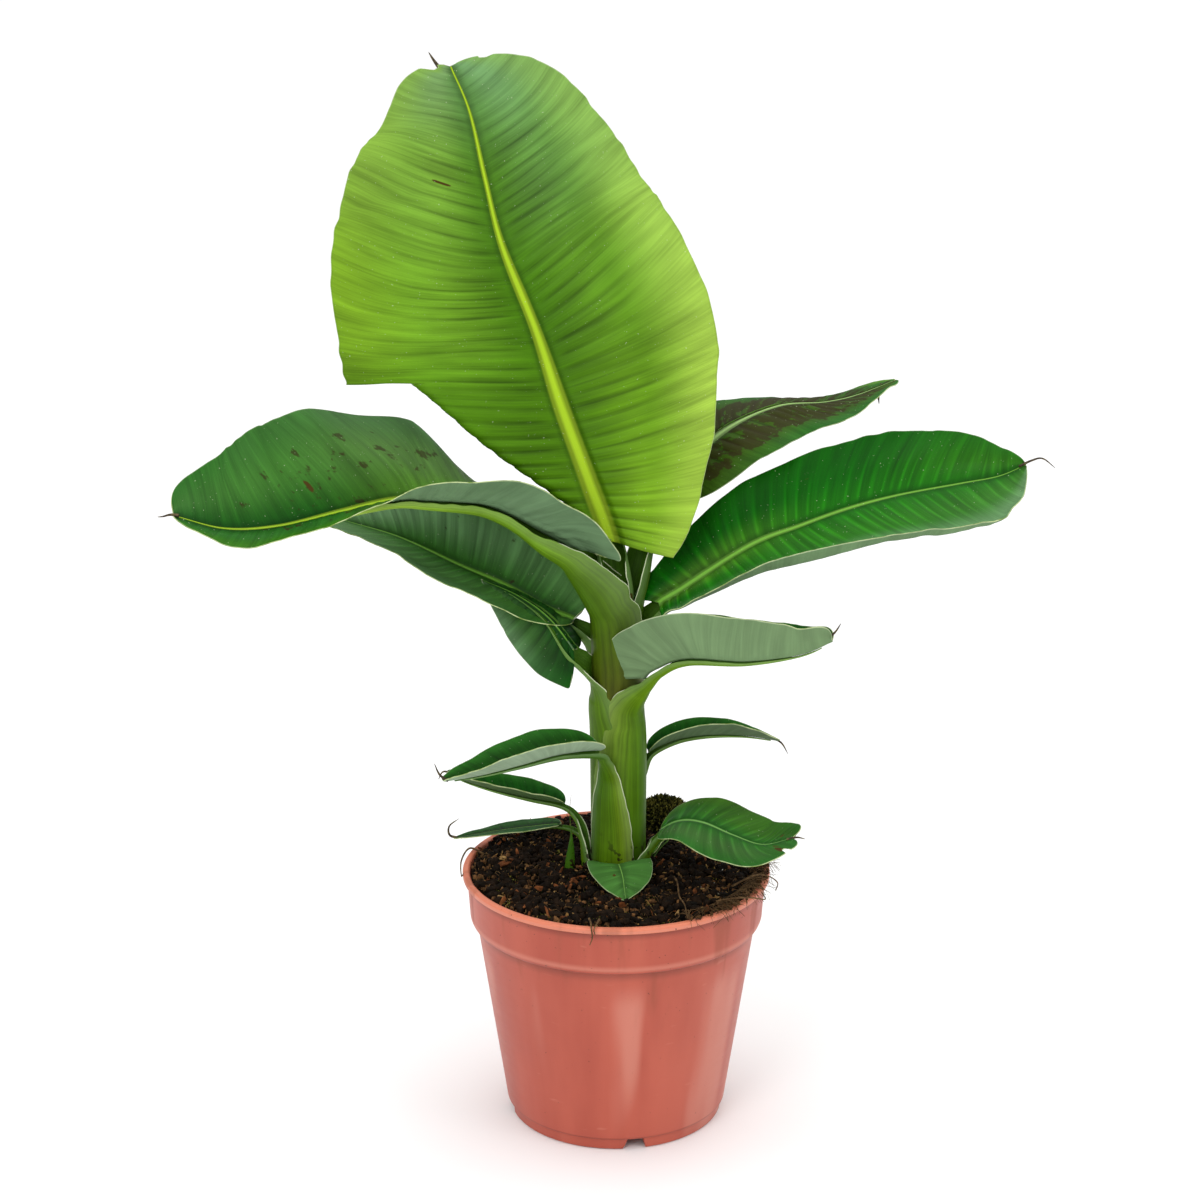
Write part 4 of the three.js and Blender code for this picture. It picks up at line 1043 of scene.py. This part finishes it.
        blade=2, stalk=[3.2, 1.8], width=[12, 13], fold=[[6, 6, 6]] * 2,
        tint=[[DEEP, DEEP, NIGHT, (30, 90, 14), DEEP]] * 2),
    "sucker_right_leaf_01": dict(
        path=[[13, -12, 164], [18, -17, 180], [27, -22, 194], [39, -27, 202], [53, -33, 203],
              [71, -41, 198], [88, -48, 195], [105, -53, 201]],
        blade=2, stalk=[5, 2.6], face=[[0, -0.2, 1]] * 3,
        outline=[[0.95, 0.55, 0.45], [0.9, 0.55, 0.5]], width=[29, 31], light=1.4,
        veins=[[110, 85, 65, 50, 45]] * 2, nicks=[(1, 0.82, 0.035, 0.28)],
        scars=[(0.81, 0.80, 1.8, 4.0), (0.84, 0.38, 1.2, 2.0), (0.86, -0.4, 1.0, 1.4)],
        fold=[[6, 6, 6], [2, 0, 0]], curl=[[0, 0, 0], [0, -10, 0]],
        tint=[[GRASS, FOREST, FOREST, (66, 110, 48), FOREST],
              [(58, 108, 26), (58, 108, 28), FOREST, (64, 110, 46), FOREST],
              [FOREST, (50, 100, 30), FOREST, FOREST, FOREST]],
        rib=(120, 176, 90), rib_width=[2.6, 2.0, 1.3, 0.6],
        pleats=(6.5, 0.4), ruffle=(0.8, 12), grid=(120, 70)),
    "sucker_right_leaf_02": dict(
        path=[[19, -3, 163], [22, 1, 168], [26, 5, 172], [33, 9, 177]],
        blade=1, stalk=[2.4, 1.6], width=[7, 7], fold=[[40, 40, 40]] * 2,
        tint=[[GRASS] * 5] * 2, under=(112, 142, 94), rib_width=[0.6, 0.4, 0.2],
        pleats=(4.0, 0.1), ruffle=(0.2, 6), grid=(40, 24)),
    "front_leaf": dict(
        path=[[2, -17, 164], [1, -25, 172], [2, -32, 174], [4, -42, 171], [5, -52, 167],
              [6, -61, 164]],
        blade=1, stalk=[3, 1.8], face=[[0, -0.2, 1], [0, -0.3, 1], [0, -0.3, 1]],
        outline=[[0.46, 0.4, 0.85, 0.75]] * 2, width=[20, 19.5],
        veins=[[130, 95, 68, 50, 40]] * 2, nicks=[(0, 0.10, 0.07, 0.3)],
        scars=[(0.40, 0.3, 0.8, 1.0)],
        fold=[[8, 8, 8]] * 2, curl=[[-10, -10, 0]] * 2,
        tint=[[(74, 126, 54)] * 5] * 2, rib=(120, 172, 80), light=1.0,
        ruffle=(0.6, 9), grid=(80, 50)),
}
LEAVES = {name: {**SMALL, **leaf} for name, leaf in LEAVES.items()}

THICK = 0.55
VEIN_SWEEP = 16  # how far a vein turns towards the tip, degrees
SECTION_STEPS = 16
NOTCHED, NOTCH_SPACING = 0.007, 6
LIP_FROM, LIP_TO = 0.72, 0.84
TEAR_BEND = 0.15
PLEAT_GAIN, PLEAT_DRIFT, DRIFT_SPACING = 1.6, 0.8, 21
VEIN_GAIN, FINE_SPACING = 0.25, 2.1
CHANNEL_GAIN, SWELL_GAIN, SWELL_SPACING = 0.30, 0.8, 40


def facing(leaf, line, distance):
    """The frame of a leaf's upper side at distances along its line: the face key, made square to
    the heading, and the way to its right."""
    start = line.knot(leaf["blade"])
    place, heading = line.at(distance)
    up = keyed(leaf["face"], (distance - start) / (line.total - start))
    up = unit(up - dot(up, heading) * heading)
    return place, heading, up, np.cross(heading, up)


def outline(leaf, half, u):
    """Length of the veins as a share of the half width: the sine of half a turn times u to a
    power, itself to a second power up to its widest and to a third after. A fourth number, if
    there is one, is the share that the veins at the base start from. Nicks take bites out."""
    skew, rise, fall, *root = leaf["outline"][half]
    turn = np.pi * np.clip(u, 0, 1) ** skew
    wave = np.maximum(np.sin(turn), 0)
    root = root[0] if root else 0.0
    share = np.where(turn < np.pi / 2, root + (1 - root) * wave ** rise, wave ** fall)
    for nick_half, nick_u, reach, deep in leaf["nicks"]:
        if nick_half == half:
            share = share * (1 - deep * ramp(np.abs(u - nick_u), reach, reach * 0.35))
    return share


def tints(rows, u, v):
    """Colours of a few rows from base to tip, each from the left edge to the right, blended."""
    across = np.array([keyed([tone(*colour) for colour in row], (v + 1) / 2) for row in rows])
    place = np.clip(u, 0, 1) * (len(rows) - 1)
    low = np.minimum(place.astype(int), len(rows) - 2)
    blend = smooth(place - low)[..., None]
    i, j = np.indices(u.shape)
    return across[low, i, j] * (1 - blend) + across[low + 1, i, j] * blend


def blade(name, leaf, seed):
    """A blade as a function of u, along the midrib, and v, out along a vein from -1 to 1. A point
    lies across the midrib by its distance out times the sine of the vein's angle, at the station
    that the cosine reaches; the section's slope is fold plus curl times the square of the share
    of the width, plus the lip and the tear's turn, and is added up in short steps. Pleats, fine
    veins, ruffles, swells and the midrib's channel then lift it along the section's normal."""
    line = Line(leaf["path"])
    start = line.knot(leaf["blade"])
    length = line.total - start
    rows, columns = leaf["grid"]
    t = np.linspace(0, 1, rows)
    share_u = 0.45 * t + 0.55 * (0.5 - 0.5 * np.cos(np.pi * t))
    tear = leaf["tear"]
    if tear:  # two rows close together, so that the blade can part between them
        share_u = np.sort(np.concatenate([share_u, tear["below"] + np.array([-1e-6, 1e-6])]))
    s = np.linspace(-1, 1, columns)
    share_v = np.sign(s) * np.abs(s) ** 1.25
    u, v = np.meshgrid(share_u, share_v, indexing="ij")
    half = (v > 0).astype(int)
    side = np.where(v > 0, 1.0, -1.0)

    def pick(values):
        return np.where(half == 0, values(0), values(1))

    width = pick(lambda h: float(leaf["width"][h]))
    notch = NOTCHED * ripple(u * length / NOTCH_SPACING, side * 5, seed) * ramp(np.abs(v), 0.4, 1)
    full = width * pick(lambda h: outline(leaf, h, u)) * (1 + notch)
    reach = full * np.abs(v)
    veins, fold, curl, lip = (pick(lambda h: keyed(leaf[key][h], u))
                              for key in ("veins", "fold", "curl", "lip"))
    vein = np.radians(veins - VEIN_SWEEP * np.abs(v) / 2)
    across = reach * np.sin(vein)
    place, heading, up, right = facing(leaf, line, start + length * u + reach * np.cos(vein))
    if tear:
        torn = (half == tear["half"]) & (u < tear["below"])
        crease = tear["start"] * (u / tear["below"]) ** 1.2

    def slope_at(distance):
        slope = fold + curl * (distance / width) ** 2
        part = distance / np.maximum(full, 1e-6)
        slope = slope + lip * ramp(part, LIP_FROM, LIP_TO)
        if tear:
            slope = slope + torn * tear["turn"] * ramp(part, crease, crease + TEAR_BEND)
        return np.radians(slope)

    point = place
    for step in range(SECTION_STEPS):
        slope = slope_at(across * (step + 0.5) / SECTION_STEPS)
        point = (point + right * (side * np.cos(slope) * across / SECTION_STEPS)[..., None]
                 + up * (np.sin(slope) * across / SECTION_STEPS)[..., None])
    slope = slope_at(across)
    normal = -right * (side * np.sin(slope))[..., None] + up * np.cos(slope)[..., None]

    spacing, depth = leaf["pleats"]
    drift = PLEAT_DRIFT * ripple(u * length / DRIFT_SPACING, side * 3, seed + 1)
    beat = u * length / spacing + drift
    off = np.abs(beat - np.round(beat))
    groove = ramp(off, 0.20, 0.0)
    scallop = 1 - (1 - 2 * off) ** 2
    body = (ramp(np.abs(v), 0.02, 0.16) * (0.12 + 0.88 * ramp(np.abs(v), 0.85, 0.30))
            * (0.45 + 0.55 * ramp(u, 1.0, 0.6)))
    rib = keyed(leaf["rib_width"], u) / 2
    channel = (ramp(np.abs(across), rib * 1.6 + 0.4, rib * 0.9)
               - 0.7 * ramp(np.abs(across), rib * 0.8, 0.0))
    height, pace = leaf["ruffle"]
    wave = (ripple(u * length / pace, side * 7, seed + 2)
            + 0.4 * ripple(u * length / pace * 2.3, side * 9, seed + 3))
    swell = ripple(u * length / SWELL_SPACING, v * 2.2, seed + 4) * ramp(np.abs(v), 0.05, 0.5)
    fine = ripple(u * length / FINE_SPACING, side, seed + 5)
    lift = (PLEAT_GAIN * depth * (scallop - 0.6) * body + VEIN_GAIN * depth * fine * body
            - CHANNEL_GAIN * channel * rib + height * wave * np.abs(v) ** 3 * smooth(full / 12)
            + SWELL_GAIN * height * swell)
    point = point + normal * lift[..., None]

    faces = grid_faces(*u.shape)
    if tear:  # the faces between the two close rows are left out, past the tear's start
        row = int(np.searchsorted(share_u, tear["below"])) - 1
        a = faces[:, 0]
        gap = (a // columns == row) & (share_v[a % columns] < -tear["start"])
        faces = faces[~gap]
    stain = keyed(leaf["stain"], u) * ramp(np.abs(v), 0.95, 0.6)
    scar = np.zeros(u.shape)
    for scar_u, scar_v, long, wide in leaf["scars"]:
        apart = np.hypot((u - scar_u) * length / long, (v - scar_v) * full / wide)
        scar = np.maximum(scar, ramp(apart, 1.3, 0.6))
    ones = np.ones((*u.shape, 1))
    values = {
        "place": np.stack([u * length + seed * 53, side * np.abs(reach), full - reach], -1),
        # first mark: painted shade in the pleats' grooves, turned into paler lines where light is
        # above a half
        "marks": np.stack([groove * body * (1 - 2 * leaf["light"]), stain, rib], -1),
        "tint": tints(leaf["tint"], u, v),
        "scar": scar[..., None] * [1, 0, 0],
        "under": ones * tone(*leaf["under"]),
        "rib_tint": ones * tone(*leaf["rib"])}
    slot = "young_blade" if name == "leaf_01" else "blade"
    made = piece(name + "_blade_skin", point.reshape(-1, 3), [faces], [UPPER, UNDER, MARGIN],
                 slot, [name + "_blade"], values, merge=0.004)
    shell = made.modifiers.new("thickness", "SOLIDIFY")
    shell.thickness, shell.offset = THICK * MM, -1
    shell.material_offset, shell.material_offset_rim = 1, 2


STEM_STEPS, STEM_COLUMNS = 130, 96
STEM_RADII = 13.6, 13.6, 13.4, 12.0, 9.6
STEM_TINT = STEM_GREEN, STEM_BROWN, (70, 54, 20), (64, 86, 20)
STEM_LAP, STEM_RIBS, STEM_RIB_COUNT, STEM_EDGE = 0.045, 0.008, 17, 6
STEM_SPINE = Line([[0.5, 0, 152], [1, 0, 205], [1, 0, 260], [0, 0, 312], [0, 1, 342]])

SHEATHS = {  # the way out of the stem, the number of the path's point where the leaf's own path
    # takes over, and below it places with their radius, half wrap (degrees) and wall
    "leaf_01": ((-2, 20), 1, [
        ((0, 1, 300), 11.5, 165, 2.0), ((0, 3, 330), 11, 150, 2.4),
        ((-2, 6, 352), 10, 130, 3.0)]),
    "leaf_02": ((14, 18), 1, [
        ((1, 2, 300), 12.5, 150, 1.8), ((5, 5, 325), 11, 130, 2.4),
        ((11, 12, 346), 9.2, 118, 3.2)]),
    "leaf_03": ((-20, -3), 3, [
        ((1, 0, 215), 15.4, 165, 1.2), ((1, 0, 290), 16.2, 165, 1.4),
        ((1, 0, 312), 16.8, 150, 1.5), ((0, 0, 327), 17.0, 140, 1.8),
        ((-4, -1, 337), 17.0, 132, 2.2), ((-10, -1.5, 347), 16.4, 124, 2.6),
        ((-18, -2, 357), 14.6, 118, 3.0), ((-27, -3, 366), 11.6, 114, 3.2)]),
    "leaf_04": ((20, 1), 1, [
        ((1, 0, 235), 14.0, 150, 1.2), ((1.5, 0, 280), 14.8, 130, 1.4),
        ((4, 0, 300), 14.4, 118, 1.8), ((10, -1, 316), 9.5, 108, 3.0)]),
    "leaf_05": ((-18, 8), 1, [
        ((0, 0, 230), 14.0, 150, 1.2), ((-1, 2, 270), 14.6, 130, 1.4),
        ((-4, 4, 290), 13.5, 115, 2.0), ((-12, 7, 308), 8, 108, 3.0)]),
    "leaf_06": ((-20, -5), 2, [
        ((1, 0, 160), 16.4, 140, 1.2), ((0.5, 0, 243), 16.8, 118, 1.4),
        ((-0.5, 0, 265), 16.8, 84, 1.5), ((-1.5, -1, 276), 15.6, 74, 1.8),
        ((-6, -4, 286), 11.5, 74, 2.2), ((-12, -8, 293), 8, 86, 2.8),
        ((-18, -11, 299), 6.4, 100, 2.8)]),
    "leaf_07": ((18, -10), 2, [
        ((1, 0, 158), 17.1, 150, 1.2), ((1.5, -0.5, 236), 17.2, 140, 1.4),
        ((1.5, -1, 256), 16.8, 128, 1.5), ((3.5, -5, 268), 14.2, 118, 2.0),
        ((7.5, -11, 278), 10.4, 110, 2.6), ((12, -17.5, 286), 7.6, 105, 3.0)]),
    "leaf_08": ((15, 6), 1, [
        ((1, 0, 158), 16.7, 110, 1.0), ((1.5, 1, 188), 16.6, 90, 1.2),
        ((3.5, 2, 206), 13.5, 85, 1.6), ((9, 3, 217), 8, 92, 2.0)]),
    "leaf_09": ((-6, -18), 3, [
        ((1, 0, 156), 18.4, 58, 1.4), ((1, 0, 190), 18.3, 46, 1.5),
        ((0.5, -1.5, 208), 18.2, 38, 1.5), ((0, -3, 218), 18.0, 34, 1.5),
        ((-1, -6.5, 227), 14.5, 34, 1.6), ((-2.5, -13, 235), 8.5, 46, 1.8),
        ((-5, -19.5, 241.5), 5.2, 78, 2.0)]),
}


STALK_STEP, STALK_COLUMNS = 1.6, 41
MIDRIB_END, MIDRIB_TIP, MIDRIB_FALL = 0.94, 0.5, 24
STALK_WRAPS = 112, 104, 90, 80  # half wraps at the foot, the neck, past it and the midrib's end
STALK_WALLS = 0.42, 0.5, 0.75  # walls at the foot, the neck and past it, as shares of a radius
PAST_NECK, PAST_RADIUS = 14, 0.86
DROP_SHARE, DROP_MORE, DROP_MIDRIB = 0.45, 0.7, 0.15
EASING = 13  # odd number of steps that radius, wrap and wall are averaged over
MARGIN_WALL, FRILL, SWELL = 0.32, 0.05, 0.012
INSIDE_TINT, MOTTLE, BLOOM = tone(70, 112, 24), 0.25, 0.3


def stalk(name, leaf, seed):
    """A sheath, stalk and midrib in one: a crescent section carried along the leaf's line. Its
    centre drops below the line by a share of the radius; its outer arc spans the half wrap each
    way from straight down, and its wall thins towards both margins. Under the blade it narrows to
    a half round rib."""
    way_out, resume, lower = SHEATHS.get(name, (None, 0, []))
    line = Line([entry[0] for entry in lower] + leaf["path"][resume:])
    first = len(lower)
    start, neck_at = line.knot(first), line.knot(first + max(leaf["blade"] - resume, 0))
    end = neck_at + (line.total - neck_at) * MIDRIB_END
    steps = int(np.clip(end / STALK_STEP, 40, 220))
    distance = np.linspace(0, end, steps)
    foot, neck = leaf["stalk"]
    if leaf["blade"] <= resume:
        foot = neck
    knots = [line.knot(k) for k in range(first)] + [start, neck_at + 0.1, neck_at + PAST_NECK, end]
    kernel = np.hanning(EASING)
    kernel /= kernel.sum()

    def eased(column, upper):
        values = np.interp(distance, knots, [entry[column] for entry in lower] + [*upper])
        return np.convolve(np.pad(values, EASING // 2, mode="edge"), kernel, "valid")

    foot_wall, neck_wall, past_wall = STALK_WALLS
    radius = eased(1, (foot, neck, neck * PAST_RADIUS, MIDRIB_TIP))
    wrap = eased(2, STALK_WRAPS)
    wall = eased(3, (foot * foot_wall, neck * neck_wall, neck * past_wall, MIDRIB_TIP))
    own = Line(leaf["path"])
    _, _, up, _ = facing(leaf, own, distance - start + own.knot(resume))
    place, heading = line.at(distance)
    way_out = way_out or leaf["path"][leaf["blade"] + 1][:2]
    inward = -unit(np.array([*way_out, 0.0]))
    blend = ramp(distance, start * 0.7, start + (neck_at - start) * 0.7 + 1)[:, None]
    up = inward * (1 - blend) + up * blend
    up = unit(up - dot(up, heading) * heading)
    right = np.cross(heading, up)
    drop = DROP_SHARE * radius + DROP_MORE
    drop = drop * ramp(distance, min(start - 8, neck_at - 30), neck_at + 0.1)
    under_blade = ramp(distance, neck_at, neck_at + MIDRIB_FALL)
    drop = drop * (1 - under_blade) + (THICK + DROP_MIDRIB) * under_blade
    centre = place - up * drop[:, None]

    columns = STALK_COLUMNS
    s = np.linspace(-1, 1, columns)
    frill = 1 + FRILL * ripple(distance / 6, 0, seed)[:, None] * np.abs(s) ** 4
    angle = np.radians(wrap)[:, None] * s * frill
    swell = 1 + SWELL * ripple(s * 6 + 3, 0, seed + 1)[None, :] * (radius > 9)[:, None]
    deep = 1 + 0.25 * under_blade[:, None]
    thin = np.maximum(wall[:, None] * (1 - np.abs(s) ** 3), MARGIN_WALL)
    thin = np.minimum(thin, radius[:, None] * 0.92)

    def arc(r):
        out = r * np.sin(angle)
        down = -r * np.cos(angle) * deep
        return centre[:, None] + right[:, None] * out[..., None] + up[:, None] * down[..., None]

    outer = arc(radius[:, None] * swell)
    inner = arc(radius[:, None] * swell - thin)
    ring = np.concatenate([outer, inner[:, ::-1]], 1)
    wide = 2 * columns
    k = np.arange(columns - 1)
    cap = np.stack([k, k + 1, wide - 2 - k, wide - 1 - k], -1)
    faces = [grid_faces(steps, wide, True), cap[:, ::-1], cap + (steps - 1) * wide]

    along = np.repeat(distance[:, None], columns, 1)
    arc_share = np.repeat(s[None], steps, 0)
    margin = (1 - np.abs(arc_share)) * (np.radians(wrap) * radius)[:, None]
    edge_on = ramp(distance, neck_at + 2, neck_at - 16)[:, None]
    margin = margin + 5 * (1 - edge_on)
    part = np.interp(distance, [0, start * 0.75, neck_at + 0.1, end], [0, 1 / 3, 2 / 3, 1])
    tint = tints(leaf["skin"], np.repeat(part[:, None], columns, 1), arc_share)
    low = ramp(distance, start * 0.9 + 1, start * 0.4)[:, None] * MOTTLE
    bloom = ramp(np.abs(arc_share), 0.45, 0.95) * BLOOM
    zero = np.zeros_like(along)
    spot = np.stack([along + 31 * seed, arc_share, margin], -1)
    marks = np.stack([low + zero, bloom, zero], -1)
    values = {"place": np.concatenate([spot, spot[:, ::-1]], 1),
              "marks": np.concatenate([marks, 0 * marks], 1),
              "tint": np.concatenate([tint, np.broadcast_to(INSIDE_TINT, tint.shape)], 1)}
    piece(name + "_stalk_skin", ring.reshape(-1, 3), [f[:, ::-1] for f in faces], [SKIN],
          "stalk", [name + "_stalk"], values)


def pseudostem():
    """The rolled core that the sheaths wrap: a tube along the stem's line. Its radius is keyed,
    grows with the square of the turn to a step that winds half a turn on the way up, where one
    inner sheath ends on the next, and is finely ribbed."""
    steps, columns = STEM_STEPS, STEM_COLUMNS
    distance = np.linspace(0, STEM_SPINE.total, steps)
    place, _ = STEM_SPINE.at(distance)
    share = distance / STEM_SPINE.total
    radius = keyed(STEM_RADII, share) * ramp(share, 1.004, 0.975) ** 0.5
    turn = turns(columns)
    lap = (turn[None] / (2 * np.pi) + share[:, None] * 0.5) % 1
    ribs = STEM_RIBS * np.sin(turn * STEM_RIB_COUNT)
    r = radius[:, None] * (1 + STEM_LAP * lap ** 2 + ribs[None])
    points = place[:, None] + polar(r, turn, 0.0)
    tint = keyed([tone(*colour) for colour in STEM_TINT], share)
    mottle = 0.25 + 0.5 * ramp(share, 0.3, 0.55)
    values = {
        "place": np.stack([distance[:, None] + 0 * r, np.abs(turn / np.pi - 1) * 2 + 0 * r,
                           STEM_EDGE + 0 * r], -1),
        "marks": np.stack([mottle[:, None] + 0 * r, 0 * r, 0 * r], -1),
        "tint": np.repeat(tint[:, None], columns, 1)}
    floor_cap = np.arange(columns)[None]
    top_cap = floor_cap + (steps - 1) * columns
    piece("pseudostem_core", points.reshape(-1, 3),
          [grid_faces(steps, columns, True), floor_cap[:, ::-1], top_cap], [SKIN],
          "pseudostem", ["pseudostem"], values)


studio()
pot()
soil()
crumbs()
fibres()
moss()
pseudostem()
for number, (leaf_name, leaf_table) in enumerate(LEAVES.items()):
    blade(leaf_name, leaf_table, 10 * number + 1)
    stalk(leaf_name, leaf_table, 10 * number + 2)
threads()
